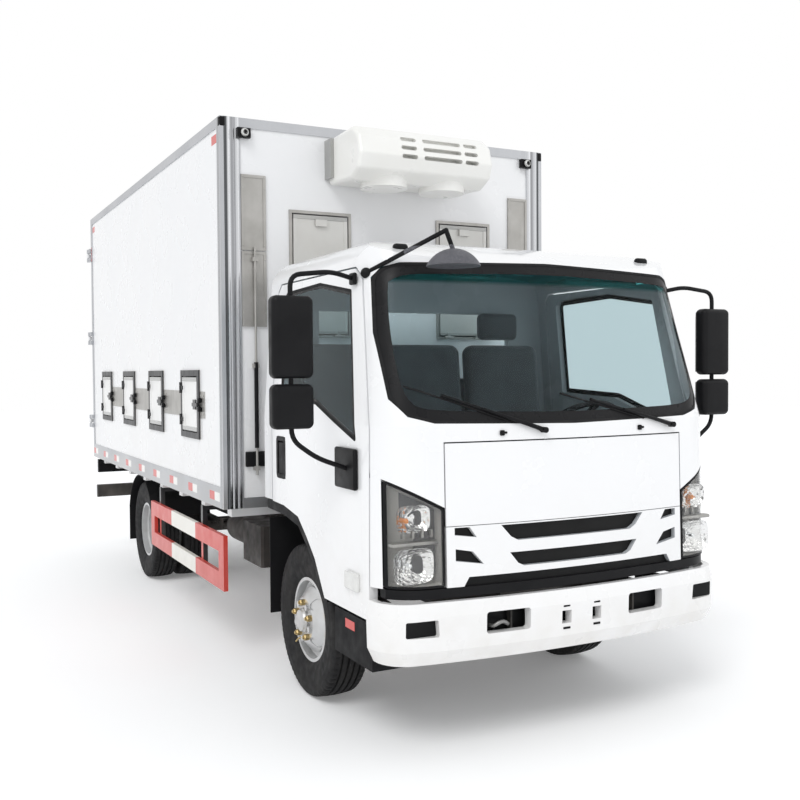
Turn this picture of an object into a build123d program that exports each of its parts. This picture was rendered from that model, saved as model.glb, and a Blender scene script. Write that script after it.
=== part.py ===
"""Insulated box truck with a forward-control tilt cab, vent hatches and a nose-mounted cooling unit.

Millimetres. +Z up, the truck faces -Y, +X is its left side. The origin is on the ground,
under the middle of the whole vehicle.
"""
import os
from math import asin, cos, hypot, radians, sin, sqrt

from build123d import *

# Whole vehicle
LENGTH = 5995.0
FRONT_OVERHANG = 1180.0
WHEELBASE = 3360.0
AXLE_F = -LENGTH / 2 + FRONT_OVERHANG
AXLE_R = AXLE_F + WHEELBASE

# Clearances
SEAT_GAP = 0.3          # between pieces that sit on each other
SEAM = 8.0              # round doors and hatches
RUN = 0.08              # radial, between a pin or spindle and its bore

# Tyres and rims, one size all round
TYRE_R = 390.0
TYRE_W = 200.0
TYRE_WALL = 16.0
BEAD_R = 205.0
FLANGE_R = 224.0
RIM_HALF = 73.0
RIM_T = 6.0
FLANGE_T = 6.0
WELL_R = 178.0
DISC_T = 10.0
STUD_PCD = 208.0
STUD_R = 11.0
STUDS = 5
HAND_HOLE_R = 27.0
HAND_HOLE_PCD = 272.0
HAND_HOLES = 4
DISC_OFFSET = 100.0
FRONT_TRACK = 1520.0
TWIN_MID = 715.0
TWIN_SPACING = 230.0

# Front axle and steering
KINGPIN_X = 660.0
KINGPIN_R = 18.0
KINGPIN_EYE_R = 42.0
KINGPIN_EYE_H = 90.0
KNUCKLE_EAR_T = 30.0
KNUCKLE_GAP = 5.0
SPINDLE_R = 28.0
FRONT_HUB_R = 72.0
FRONT_DRUM_R = 158.0
DRUM_WALL = 9.0
BEAM_W = 70.0
BEAM_H = 76.0
BEAM_DROP = 95.0

# Rear axle
REAR_TUBE_R = 58.0
REAR_SPINDLE_R = 44.0
REAR_HUB_R = 92.0
DIFF_R = 175.0

# Ladder frame
RAIL_X = 350.0
RAIL_H = 180.0
RAIL_FLANGE = 62.0
RAIL_T = 7.0
RAIL_TOP = 700.0
RAIL_FRONT = AXLE_F - 1040.0
CROSS_R = 38.0
SPRING_W = 60.0
SPRING_LEAF = 11.0
LEAF_LAP = 0.5           # a leaf's bite into the one above it

# Insulated box
BOX_HALF = 1084.0
BOX_FRONT = AXLE_F + 645.0
BOX_LENGTH = 4092.0
BOX_REAR = BOX_FRONT + BOX_LENGTH
BOX_BOTTOM = 893.0
BOX_TOP = 3089.0
WALL = 60.0
FLOOR_T = 80.0
TRIM = 6.0
POST_SIDE = 60.0
POST_FRONT = 118.0
TOP_RAIL = 55.0
SIDE_RAIL = 120.0
PORTAL_W = 70.0
PORTAL_D = 60.0
BEARER_H = 60.0
BEARER_W = 80.0
BEARERS = 8

# Side hatches
HATCH = 330.0
HATCH_BAND = 45.0
HATCH_Z = 1470.0
HATCH_FIRST = AXLE_F + 1325.0
HATCH_PITCH = 900.0
HATCHES = 4
BAND_PROUD = 12.0
HATCH_T = 30.0
HATCH_PIN_R = 5.0
LATCH_H = 160.0
LATCH_T = 3.0

# Front wall hatches and vent covers
VENT_X = 484.0
VENT_W = 389.0
VENT_Z0 = 1861.0
VENT_Z1 = 2597.0
VENT_T = 30.0
SLOT_VENT_X = 892.0
SLOT_VENT_W = 145.0
SLOT_VENT_Z0 = 1922.0
SLOT_VENT_Z1 = 2775.0

# Rear doors of the box
LEAF_T = 42.0
LEAF_GAP = 4.0
LEAF_PIN_R = 8.0
LOCK_ROD_R = 11.0

# Cooling unit on the front wall
UNIT_HALF = 430.0
UNIT_DEPTH = 450.0
UNIT_Z0 = 2715.0
UNIT_Z1 = 3030.0

# Cab
CAB_HALF = 930.0
CAB_REAR = AXLE_F + 385.0
CAB_WALL = 40.0
CAB_BASE = 600.0
BELT_Z = 1430.0
LOFT_TOP = 2400.0
CAB_CORNER_R = 230.0
BOW_R = 4900.0
CAB_ROOF = 2288.0
NOSE_LOW = AXLE_F - 1152.0
NOSE_BELT = AXLE_F - 1130.0
NOSE_TOP = AXLE_F - 841.0
HALF_TOP = 860.0
PANEL_T = 24.0
GLASS_T = 6.0
GLASS_INSET = 4.0

# Doors of the cab
DOOR_FRONT = AXLE_F - 914.0
DOOR_REAR = AXLE_F + 265.0
DOOR_BOTTOM = 600.0
DOOR_TOP = 2120.0
DOOR_BEND = 1420.0         # front edge upright below this height, so that its corner clears the pillar
DOOR_PIN_X = 912.0
DOOR_PIN_Y = AXLE_F - 897.0
DOOR_PIN_R = 6.0
DOOR_HINGES = (860.0, 1220.0)

# Cab tilt pivot
TILT_Y = AXLE_F - 1050.0
TILT_Z = 760.0
TILT_X = 305.0
TILT_PIN_R = 15.0
TILT_EYE_R = 28.0

# Bumper
BUMPER_NOSE = -LENGTH / 2
BUMPER_HALF = 945.0
BUMPER_Z0 = 428.0
BUMPER_Z1 = 692.0
BUMPER_T = 12.0
BUMPER_CORNER_R = 175.0
BUMPER_TUCK = 34.0
BUMPER_END = AXLE_F - 925.0

os.makedirs("parts", exist_ok=True)


def save(piece, name):
    """Label a finished piece and write it to its own file."""
    piece.part.label = name
    export_step(piece.part, f"parts/{name}.step")


def block(x, y, z, mode=Mode.ADD):
    """Box between two corners, each direction given as a (low, high) pair."""
    centre = tuple((low + high) / 2 for low, high in (x, y, z))
    with Locations(centre):
        Box(x[1] - x[0], y[1] - y[0], z[1] - z[0], mode=mode)


TURN = {"x": (0, 90, 0), "y": (90, 0, 0), "z": (0, 0, 0)}


def rod(centre, radius, length, axis="x", mode=Mode.ADD):
    """Round bar about a point, along one of the three directions."""
    with Locations(centre):
        Cylinder(radius, length, rotation=TURN[axis], mode=mode)


def outline(plane, points, amount, mode=Mode.ADD, both=False, taper=0):
    """Straight-sided outline drawn on a plane and extruded."""
    with BuildSketch(plane) as drawing:
        with BuildLine():
            Polyline(*points, close=True)
        make_face()
    extrude(drawing.sketch, amount=amount, both=both, mode=mode, taper=taper)


def rounded(plane, points, corner, amount, mode=Mode.ADD, both=False):
    """The same with every corner rounded."""
    with BuildSketch(plane) as drawing:
        with BuildLine():
            Polyline(*points, close=True)
        make_face()
        fillet(drawing.vertices(), corner)
    extrude(drawing.sketch, amount=amount, both=both, mode=mode)


def side_plane(x):
    """Plane seen from the truck's left: local x is Y, local y is Z."""
    return Plane(origin=(x, 0, 0), x_dir=(0, 1, 0), z_dir=(1, 0, 0))


def front_plane(y):
    """Plane seen from the front: local x is X, local y is Z, extruding towards +Y."""
    return Plane(origin=(0, y, 0), x_dir=(-1, 0, 0), z_dir=(0, 1, 0))


# Ladder frame

def channel_points(side):
    """Section of one rail, its web outside and its flanges towards the middle."""
    out, web = side * RAIL_X, side * (RAIL_X - RAIL_T)
    flange = side * (RAIL_X - RAIL_FLANGE)
    low, high = RAIL_TOP - RAIL_H, RAIL_TOP
    return [(-out, low), (-out, high), (-flange, high), (-flange, high - RAIL_T), (-web, high - RAIL_T),
            (-web, low + RAIL_T), (-flange, low + RAIL_T), (-flange, low)]


RAIL_REAR = BOX_REAR - 20.0
CROSS_TUBES = (AXLE_F - 700.0, AXLE_F + 1400.0, AXLE_F + 2050.0, AXLE_R - 640.0, AXLE_R + 640.0)
CAB_REST_Z = 990.0
STAY_X = RAIL_X - RAIL_T - 4.0
RAIL_MID_Z = RAIL_TOP - RAIL_H / 2
HANGER_Z = RAIL_TOP - RAIL_H - 45.0
FRONT_SPRING_X = 320.0
REAR_SPRING_X = 425.0
FRONT_SPRING_HALF = 560.0
REAR_SPRING_HALF = 600.0
SPRING_EYE_R = 24.0


def rail_fittings(frame_low):
    """Spring hangers, tilt bracket and bumper stay of the left rail, as boxes and pins."""
    boxes, pins = [], []
    for y in (AXLE_F - FRONT_SPRING_HALF, AXLE_F + FRONT_SPRING_HALF):
        for edge in (-1, 1):
            x = FRONT_SPRING_X + edge * (SPRING_W / 2 + 5)
            boxes.append(((x - 4, x + 4), (y - 35, y + 35), (HANGER_Z - 32, frame_low)))
        pins.append(((FRONT_SPRING_X, y, HANGER_Z), SPRING_EYE_R - 8 - RUN, SPRING_W + 10))
    for y in (AXLE_R - REAR_SPRING_HALF, AXLE_R + REAR_SPRING_HALF):
        for edge in (-1, 1):
            x = REAR_SPRING_X + edge * (SPRING_W / 2 + 5)
            boxes.append(((x - 4, x + 4), (y - 35, y + 35), (HANGER_Z - 32, frame_low)))
        boxes.append(((RAIL_X - RAIL_T, REAR_SPRING_X + SPRING_W / 2 + 9), (y - 35, y + 35),
                      (frame_low, frame_low + RAIL_T)))
        pins.append(((REAR_SPRING_X, y, HANGER_Z), SPRING_EYE_R - 8 - RUN, SPRING_W + 10))
    boxes.append(((TILT_X - 32, RAIL_X), (TILT_Y - 5, TILT_Y + 90), (RAIL_TOP - 10, RAIL_TOP)))
    pins.append(((TILT_X, TILT_Y, TILT_Z), TILT_PIN_R, 66))
    stay_front = BUMPER_NOSE + BUMPER_TUCK + BUMPER_T + BOW_R - sqrt(BOW_R ** 2 - (STAY_X + 4) ** 2) + SEAT_GAP
    boxes.append(((STAY_X - 4, STAY_X + 4), (stay_front, RAIL_FRONT + 40), (BUMPER_Z0 + 60, RAIL_TOP - 40)))
    boxes.append(((RAIL_X - 55, RAIL_X - 5), (CAB_REAR - CAB_WALL - 20, CAB_REAR - CAB_WALL),
                  (RAIL_TOP, CAB_REST_Z - SEAT_GAP)))
    return boxes, pins


def chassis_frame():
    """Two channel rails, tube cross members, spring hangers and the brackets of the tilt pivot."""
    with BuildPart() as fittings:
        boxes, pins = rail_fittings(RAIL_TOP - RAIL_H)
        for x, y, z in boxes:
            block(x, y, z)
        for centre, radius, length in pins:
            rod(centre, radius, length)
        for cheek in (-1, 1):
            outline(side_plane(TILT_X + cheek * 22 - 5),
                    [(TILT_Y - 5, RAIL_TOP), (TILT_Y - 18, TILT_Z - 10), (TILT_Y - 18, TILT_Z + 18),
                     (TILT_Y + 18, TILT_Z + 18), (TILT_Y + 80, RAIL_TOP)], 10)
        outline(front_plane(RAIL_FRONT), channel_points(1), RAIL_REAR - RAIL_FRONT)
    with BuildPart() as frame:
        add(fittings.part)
        mirror(about=Plane.YZ)
        with Locations(*[(0, y, RAIL_MID_Z) for y in CROSS_TUBES]):
            Cylinder(CROSS_R, 2 * (RAIL_X - RAIL_T), rotation=TURN["x"])
        block((-RAIL_X + RAIL_T, RAIL_X - RAIL_T), (RAIL_FRONT, RAIL_FRONT + 10), (RAIL_TOP - RAIL_H, RAIL_TOP - 40))
        block((-RAIL_X, RAIL_X), (RAIL_REAR, RAIL_REAR + 8), (RAIL_TOP - RAIL_H + 10, RAIL_TOP))
    save(frame, "chassis_frame")


def leaf_pack(half, seat_z):
    """Leaf spring about its own middle: a master leaf with an eye at each end over three shorter leaves."""
    rise = HANGER_Z - seat_z
    with BuildPart() as pack:
        for row, share in enumerate((1.0, 0.82, 0.6, 0.38)):
            reach = half * share
            low = seat_z - row * SPRING_LEAF
            high = low + SPRING_LEAF + (LEAF_LAP if row else 0)
            end = rise * share * share
            with BuildSketch(side_plane(-SPRING_W / 2)):
                with BuildLine():
                    under = ThreePointArc((-reach, low + end), (0, low), (reach, low + end))
                    over = ThreePointArc((-reach, high + end), (0, high), (reach, high + end))
                    Line(under @ 0, over @ 0)
                    Line(under @ 1, over @ 1)
                make_face()
            extrude(amount=SPRING_W)
        with Locations((0, -half, HANGER_Z), (0, half, HANGER_Z)):
            Cylinder(SPRING_EYE_R, SPRING_W, rotation=TURN["x"])
        with Locations((0, -half, HANGER_Z), (0, half, HANGER_Z)):
            Cylinder(SPRING_EYE_R - 8, SPRING_W, rotation=TURN["x"], mode=Mode.SUBTRACT)
    return pack.part


FRONT_SEAT_Z = TYRE_R - BEAM_DROP + BEAM_H / 2 + 3 * SPRING_LEAF
REAR_SEAT_Z = TYRE_R + REAR_TUBE_R + 3 * SPRING_LEAF + SEAT_GAP


def leaf_springs():
    front = leaf_pack(FRONT_SPRING_HALF, FRONT_SEAT_Z)
    rear = leaf_pack(REAR_SPRING_HALF, REAR_SEAT_Z)
    with BuildPart() as springs:
        add([front.moved(Location((side * FRONT_SPRING_X, AXLE_F, 0))) for side in (-1, 1)]
            + [rear.moved(Location((side * REAR_SPRING_X, AXLE_R, 0))) for side in (-1, 1)])
    save(springs, "leaf_springs")


def front_axle_beam():
    """Dropped I-beam with a kingpin eye at each end."""
    z = TYRE_R
    low = z - BEAM_DROP
    with BuildPart() as beam:
        with BuildSketch(front_plane(AXLE_F - BEAM_W / 2)):
            with BuildLine():
                Polyline((-KINGPIN_X, z - 24), (-KINGPIN_X + 70, z - 30), (-RAIL_X - 60, low - BEAM_H / 2),
                         (RAIL_X + 60, low - BEAM_H / 2), (KINGPIN_X - 70, z - 30), (KINGPIN_X, z - 24),
                         (KINGPIN_X, z + 24), (KINGPIN_X - 70, z + 30), (RAIL_X + 40, low + BEAM_H / 2),
                         (-RAIL_X - 40, low + BEAM_H / 2), (-KINGPIN_X + 70, z + 30), (-KINGPIN_X, z + 24),
                         close=True)
            make_face()
        extrude(amount=BEAM_W)
        for edge in (-1, 1):
            with BuildSketch(front_plane(AXLE_F + edge * BEAM_W / 2 - edge * 24 / 2 - 12)):
                with BuildLine():
                    Polyline((-RAIL_X - 10, low - BEAM_H / 2 + 13), (RAIL_X + 10, low - BEAM_H / 2 + 13),
                             (RAIL_X + 10, low + BEAM_H / 2 - 13), (-RAIL_X - 10, low + BEAM_H / 2 - 13),
                             close=True)
                make_face()
            extrude(amount=24, mode=Mode.SUBTRACT)
        for side in (-1, 1):
            rod((side * KINGPIN_X, AXLE_F, z), KINGPIN_EYE_R, KINGPIN_EYE_H, "z")
        for side in (-1, 1):
            rod((side * KINGPIN_X, AXLE_F, z), KINGPIN_R + RUN, KINGPIN_EYE_H, "z", Mode.SUBTRACT)
    save(beam, "front_axle_beam")


def knuckle(side, name):
    """Steering knuckle: two ears and a pin round the beam's eye, a web and the wheel spindle."""
    z = TYRE_R
    ear_in = KINGPIN_EYE_H / 2 + KNUCKLE_GAP
    ear_out = ear_in + KNUCKLE_EAR_T
    web_in, web_out = KINGPIN_X + KINGPIN_EYE_R + 8, KINGPIN_X + KINGPIN_EYE_R + 30
    with BuildPart() as piece:
        rod((side * KINGPIN_X, AXLE_F, z), KINGPIN_R, 2 * ear_out, "z")
        for end in (-1, 1):
            middle = z + end * (ear_in + ear_out) / 2
            rod((side * KINGPIN_X, AXLE_F, middle), KINGPIN_EYE_R - 4, KNUCKLE_EAR_T, "z")
            near, far = sorted((side * KINGPIN_X, side * web_out))
            block((near, far), (AXLE_F - 34, AXLE_F + 34), (middle - KNUCKLE_EAR_T / 2, middle + KNUCKLE_EAR_T / 2))
        near, far = sorted((side * web_in, side * web_out))
        block((near, far), (AXLE_F - 55, AXLE_F + 55), (z - ear_out, z + ear_out))
        length = FRONT_TRACK / 2 + DISC_OFFSET - DISC_T - 1 - web_in
        rod((side * (web_in + length / 2), AXLE_F, z), SPINDLE_R, length)
    save(piece, name)


def rear_axle():
    """Banjo axle: tube, round gear housing and a spindle at each end."""
    reach = TWIN_MID + 25
    with BuildPart() as axle:
        rod((0, AXLE_R, TYRE_R), REAR_TUBE_R, 2 * (TWIN_MID - 150))
        rod((0, AXLE_R, TYRE_R), REAR_SPINDLE_R, 2 * reach)
        rod((0, AXLE_R, TYRE_R), DIFF_R, 110, "y")
        with BuildSketch(front_plane(AXLE_R - 55)):
            with Locations((0, TYRE_R)):
                Circle(DIFF_R - 30)
        extrude(amount=-PINION, taper=14)
        with BuildSketch(front_plane(AXLE_R + 55)):
            with Locations((0, TYRE_R)):
                Circle(DIFF_R - 10)
        extrude(amount=60, taper=30)
        for side in (-1, 1):
            x = side * REAR_SPRING_X
            block((x - SPRING_W / 2, x + SPRING_W / 2), (AXLE_R - 60, AXLE_R + 60), (TYRE_R, TYRE_R + REAR_TUBE_R))
    save(axle, "rear_axle")


ENGINE_Y = (AXLE_F - 330.0, AXLE_F + 430.0)
GEARBOX_END = AXLE_F + 1010.0
PROP_Z0 = 545.0
PINION = 130.0
PROP_END = AXLE_R - 55.0 - PINION - 3.5


def engine_and_driveline():
    """Engine block, gearbox, propeller shaft and the exhaust with its silencer."""
    with BuildPart() as line:
        block((-265, 265), ENGINE_Y, (455, 950))
        with BuildSketch(front_plane(ENGINE_Y[1])):
            with Locations((0, 600)):
                Circle(190)
        with BuildSketch(front_plane(GEARBOX_END)):
            with Locations((0, PROP_Z0)):
                Circle(85)
        loft()
        start = Vector(0, GEARBOX_END - 10, PROP_Z0)
        end = Vector(0, PROP_END, TYRE_R)
        run = end - start
        with BuildSketch(Plane(origin=start, z_dir=run)):
            Circle(40)
        extrude(amount=run.length)
        rod((-230, AXLE_F + 1300, 390), 105, 560, "y")
        rod((-230, AXLE_F + 1690, 390), 28, 240, "y")
        block((-235, -165), (ENGINE_Y[1] - 60, ENGINE_Y[1] + 10), (400, 520))
        rod((-200, AXLE_F + 760, 420), 28, 700, "y")
        mount = RAIL_X - RAIL_T
        block((-mount, mount), (AXLE_F - 100, AXLE_F - 60), (560, 620))
    save(line, "engine_and_driveline")


def fuel_tank():
    with BuildPart() as tank:
        block((RAIL_X + 12, RAIL_X + 400), (AXLE_F + 1150, AXLE_F + 1900), (380, 690))
        fillet(tank.edges().filter_by(Axis.Y), 55)
        for y in (AXLE_F + 1300, AXLE_F + 1750):
            block((RAIL_X, RAIL_X + 14), (y - 25, y + 25), (560, 680))
    save(tank, "fuel_tank")


def battery_box():
    """Battery box and air tank on the right rail."""
    with BuildPart() as box:
        block((-RAIL_X - 330, -RAIL_X), (AXLE_F + 1180, AXLE_F + 1560), (430, 690))
        chamfer(box.edges().filter_by(Axis.Z), 15)
        rod((-RAIL_X - 150, AXLE_F + 1900, 560), 110, 480, "y")
        for y in (AXLE_F + 1740, AXLE_F + 2060):
            block((-RAIL_X - 150, -RAIL_X), (y - 15, y + 15), (640, 670))
    save(box, "battery_box")


# Wheels

def wheel_plane(centre_x, side, axle_y):
    """Plane through a wheel's centre: local x points outboard, local y up."""
    return Plane(origin=(centre_x, axle_y, TYRE_R), x_dir=(side, 0, 0), z_dir=(0, -side, 0))


def spin_axis(centre_x, axle_y):
    return Axis((centre_x, axle_y, TYRE_R), (1, 0, 0))


def tyre_section():
    """Hollow carcass: bulging sidewalls, rounded shoulders, crowned tread, bead inside the flange."""
    half = TYRE_W / 2
    bead = RIM_HALF - FLANGE_T - SEAT_GAP
    shoulder = TYRE_R - 34
    with BuildLine() as section:
        left_bead = Line((-bead, BEAD_R + SEAT_GAP), (-bead, FLANGE_R + 4))
        left_wall = ThreePointArc(left_bead @ 1, (-half, (FLANGE_R + shoulder) / 2), (-half + 8, shoulder))
        left_shoulder = ThreePointArc(left_wall @ 1, (-half + 12, TYRE_R - 16), (-half + 24, TYRE_R - 5))
        tread = ThreePointArc(left_shoulder @ 1, (0, TYRE_R), (half - 24, TYRE_R - 5))
        right_shoulder = ThreePointArc(tread @ 1, (half - 12, TYRE_R - 16), (half - 8, shoulder))
        right_wall = ThreePointArc(right_shoulder @ 1, (half, (FLANGE_R + shoulder) / 2), (bead, FLANGE_R + 4))
        right_bead = Line(right_wall @ 1, (bead, BEAD_R + SEAT_GAP))
        heel = Line(right_bead @ 1, (bead - TYRE_WALL, BEAD_R + SEAT_GAP))
        inner_right = Line(heel @ 1, (bead - TYRE_WALL, FLANGE_R))
        cavity_right = ThreePointArc(inner_right @ 1, (half - TYRE_WALL, (FLANGE_R + shoulder) / 2),
                                     (half - 34, TYRE_R - 26))
        cavity_top = Line(cavity_right @ 1, (-half + 34, TYRE_R - 26))
        cavity_left = ThreePointArc(cavity_top @ 1, (-half + TYRE_WALL, (FLANGE_R + shoulder) / 2),
                                    (-bead + TYRE_WALL, FLANGE_R))
        inner_left = Line(cavity_left @ 1, (-bead + TYRE_WALL, BEAD_R + SEAT_GAP))
        Line(inner_left @ 1, left_bead @ 0)
    make_face(section.edges())


def rim_section(disc_side):
    """Drop-centre rim. disc_side +1 has its disc bulging outboard, -1 dished inboard."""
    s = disc_side
    seat = BEAD_R
    with BuildLine() as barrel:
        Polyline((-RIM_HALF, FLANGE_R), (-RIM_HALF + FLANGE_T, FLANGE_R), (-RIM_HALF + FLANGE_T, seat),
                 (-36, seat - 2), (-28, WELL_R), (20, WELL_R), (28, seat - 2), (RIM_HALF - FLANGE_T, seat),
                 (RIM_HALF - FLANGE_T, FLANGE_R), (RIM_HALF, FLANGE_R), (RIM_HALF, seat - RIM_T),
                 (32, seat - RIM_T - 2), (24, WELL_R - RIM_T), (-32, WELL_R - RIM_T),
                 (-40, seat - RIM_T - 2), (-RIM_HALF, seat - RIM_T), close=True)
    make_face(barrel.edges())
    with BuildLine() as disc:
        Polyline((s * -4, WELL_R - 3), (s * 12, WELL_R - 3), (s * 52, 166), (s * (DISC_OFFSET - 8), 122),
                 (s * DISC_OFFSET, 112), (s * DISC_OFFSET, 60), (s * (DISC_OFFSET - DISC_T), 60),
                 (s * (DISC_OFFSET - DISC_T), 108), (s * (DISC_OFFSET - 20), 116), (s * 46, 156),
                 (s * -4, WELL_R - 14), close=True)
    make_face(disc.edges())


def wheel_holes(centre_x, side, axle_y, face_x):
    """Round hand holes and stud holes through a disc."""
    plane = Plane(origin=(face_x, axle_y, TYRE_R), x_dir=(0, 1, 0), z_dir=(side, 0, 0))
    with BuildSketch(plane) as holes:
        with PolarLocations(HAND_HOLE_PCD / 2, HAND_HOLES, start_angle=45):
            Circle(HAND_HOLE_R)
    extrude(holes.sketch, amount=DISC_OFFSET, both=True, mode=Mode.SUBTRACT)


def tyre(side, centres, axle_y, name):
    with BuildPart() as piece:
        for x in centres:
            with BuildSketch(wheel_plane(side * x, side, axle_y)):
                tyre_section()
            revolve(axis=spin_axis(side * x, axle_y))
    save(piece, name)


def front_rim(side, name):
    """Steel wheel with its hub, brake drum, studs and grease cap."""
    x = FRONT_TRACK / 2
    face = x + DISC_OFFSET
    with BuildPart() as piece:
        with BuildSketch(wheel_plane(side * x, side, AXLE_F)):
            rim_section(1)
        revolve(axis=spin_axis(side * x, AXLE_F))
        wheel_holes(side * x, side, AXLE_F, side * face)
        with BuildSketch(wheel_plane(side * x, side, AXLE_F)):
            with BuildLine():
                Polyline((DISC_OFFSET - DISC_T, SPINDLE_R + RUN), (DISC_OFFSET - DISC_T, FRONT_DRUM_R - 40),
                         (DISC_OFFSET - 46, FRONT_DRUM_R), (DISC_OFFSET - 150, FRONT_DRUM_R),
                         (DISC_OFFSET - 150, FRONT_DRUM_R - DRUM_WALL), (DISC_OFFSET - 52, FRONT_DRUM_R - DRUM_WALL),
                         (DISC_OFFSET - 24, FRONT_DRUM_R - 50), (DISC_OFFSET - 24, FRONT_HUB_R),
                         (DISC_OFFSET - 90, FRONT_HUB_R), (DISC_OFFSET - 90, SPINDLE_R + RUN), close=True)
            make_face()
            with BuildLine():
                Polyline((DISC_OFFSET - DISC_T, 0), (DISC_OFFSET + 26, 0), (DISC_OFFSET + 26, 44),
                         (DISC_OFFSET + 20, 52), (DISC_OFFSET, 60), (DISC_OFFSET - DISC_T, 60), close=True)
            make_face()
        revolve(axis=spin_axis(side * x, AXLE_F))
        with BuildSketch(Plane(origin=(side * face, AXLE_F, TYRE_R), x_dir=(0, 1, 0), z_dir=(side, 0, 0))):
            with PolarLocations(STUD_PCD / 2 - 12, STUDS, start_angle=90):
                RegularPolygon(STUD_R + 5, 6)
        extrude(amount=16)
    save(piece, name)


def rear_rims(side, name):
    """Twin rims back to back on one hub, with the brake drum inside the inner one."""
    mid = TWIN_MID
    outer, inner = mid + TWIN_SPACING / 2, mid - TWIN_SPACING / 2
    reach = TWIN_SPACING / 2 - DISC_OFFSET
    with BuildPart() as piece:
        for centre, facing in ((outer, -1), (inner, 1)):
            with BuildSketch(wheel_plane(side * centre, side, AXLE_R)):
                rim_section(facing)
            revolve(axis=spin_axis(side * centre, AXLE_R))
        wheel_holes(side * mid, side, AXLE_R, side * mid)
        with BuildSketch(wheel_plane(side * mid, side, AXLE_R)):
            with BuildLine():
                Polyline((-reach, 0 + REAR_SPINDLE_R + RUN), (-reach, 0 + REAR_HUB_R + 40), (reach, REAR_HUB_R + 40),
                         (reach, REAR_HUB_R), (72, REAR_HUB_R), (84, REAR_HUB_R - 14), (84, 0), (34, 0),
                         (34, REAR_SPINDLE_R + RUN), close=True)
            make_face()
            with BuildLine():
                Polyline((-reach, REAR_SPINDLE_R + RUN), (-reach, WELL_R - 26), (-reach - 30, WELL_R - 14),
                         (-reach - 180, WELL_R - 14), (-reach - 180, WELL_R - 24), (-reach - 36, WELL_R - 24),
                         (-reach - 16, WELL_R - 36), (-reach - 16, REAR_HUB_R), (-reach - 100, REAR_HUB_R - 20),
                         (-reach - 100, REAR_SPINDLE_R + RUN), close=True)
            make_face()
        revolve(axis=spin_axis(side * mid, AXLE_R))
        with BuildSketch(Plane(origin=(side * (mid + reach), AXLE_R, TYRE_R), x_dir=(0, 1, 0), z_dir=(side, 0, 0))):
            with PolarLocations(REAR_HUB_R + 22, STUDS, start_angle=90):
                RegularPolygon(STUD_R + 5, 6)
        extrude(amount=18)
    save(piece, name)


# Box body

WALL_OUT = BOX_HALF - TRIM
WALL_IN = WALL_OUT - WALL
BODY_FRONT = BOX_FRONT + TRIM
BODY_TOP = BOX_TOP - TRIM
BODY_BOTTOM = BOX_BOTTOM + TRIM
BODY_REAR = BOX_REAR - PORTAL_D
HATCH_CENTRES = [HATCH_FIRST + n * HATCH_PITCH for n in range(HATCHES)]
HATCH_HOLE = HATCH + 2 * SEAM


def bearer_y(n):
    """Front face of one cross bearer, counted from the front."""
    return BODY_FRONT + WALL + n * (BODY_REAR - BODY_FRONT - WALL - 2 * BEARER_W) / (BEARERS - 1)


def box_floor():
    """Floor with its cross bearers and the two long sills on the rails."""
    with BuildPart() as floor:
        block((-WALL_IN, WALL_IN), (BODY_FRONT + WALL, BODY_REAR), (BODY_BOTTOM, BODY_BOTTOM + FLOOR_T))
        for n in range(BEARERS):
            y = bearer_y(n)
            block((-WALL_IN, WALL_IN), (y, y + BEARER_W), (BODY_BOTTOM - BEARER_H, BODY_BOTTOM))
        for side in (-1, 1):
            x = side * (RAIL_X - RAIL_FLANGE / 2)
            block((x - 30, x + 30), (BODY_FRONT + WALL, BODY_REAR), (RAIL_TOP, BODY_BOTTOM - BEARER_H))
    save(floor, "box_floor")


def box_roof():
    """Roof panel, its edges let down for the profiles that lap over them."""
    half = BOX_HALF - POST_SIDE - SEAT_GAP
    with BuildPart() as roof:
        block((-WALL_OUT, WALL_OUT), (BODY_FRONT, BODY_REAR), (BODY_TOP - WALL, BODY_TOP))
        block((-half, half), (BOX_FRONT + POST_SIDE + SEAT_GAP, BOX_REAR - POST_SIDE - SEAT_GAP),
              (BODY_TOP, BODY_TOP + TRIM / 2))
    save(roof, "box_roof")


def box_side(side, name):
    """Side wall with four square hatch openings."""
    near, far = sorted((side * WALL_IN, side * WALL_OUT))
    with BuildPart() as wall:
        block((near, far), (BODY_FRONT, BODY_REAR), (BODY_BOTTOM, BODY_TOP - WALL))
        for y in HATCH_CENTRES:
            block((near - 1, far + 1), (y - HATCH_HOLE / 2, y + HATCH_HOLE / 2),
                  (HATCH_Z - HATCH_HOLE / 2, HATCH_Z + HATCH_HOLE / 2), Mode.SUBTRACT)
    save(wall, name)


def box_front_wall():
    with BuildPart() as wall:
        block((-WALL_IN, WALL_IN), (BODY_FRONT, BODY_FRONT + WALL), (BODY_BOTTOM, BODY_TOP - WALL))
        for side in (-1, 1):
            x = side * VENT_X
            half = VENT_W / 2 - 25 + SEAM
            block((x - half, x + half), (BODY_FRONT - 1, BODY_FRONT + WALL + 1),
                  (VENT_Z0 + 25 - SEAM, VENT_Z1 - 25 + SEAM), Mode.SUBTRACT)
    save(wall, "box_front_wall")


LEAF_PIN_X = BOX_HALF + 14.0
LEAF_PIN_Y = BOX_REAR + SEAM + LEAF_T + 4.0
LEAF_HINGES = (BOX_BOTTOM + 330.0, (BOX_BOTTOM + BOX_TOP) / 2, BOX_TOP - 330.0)
HINGE_H = 40.0


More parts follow.
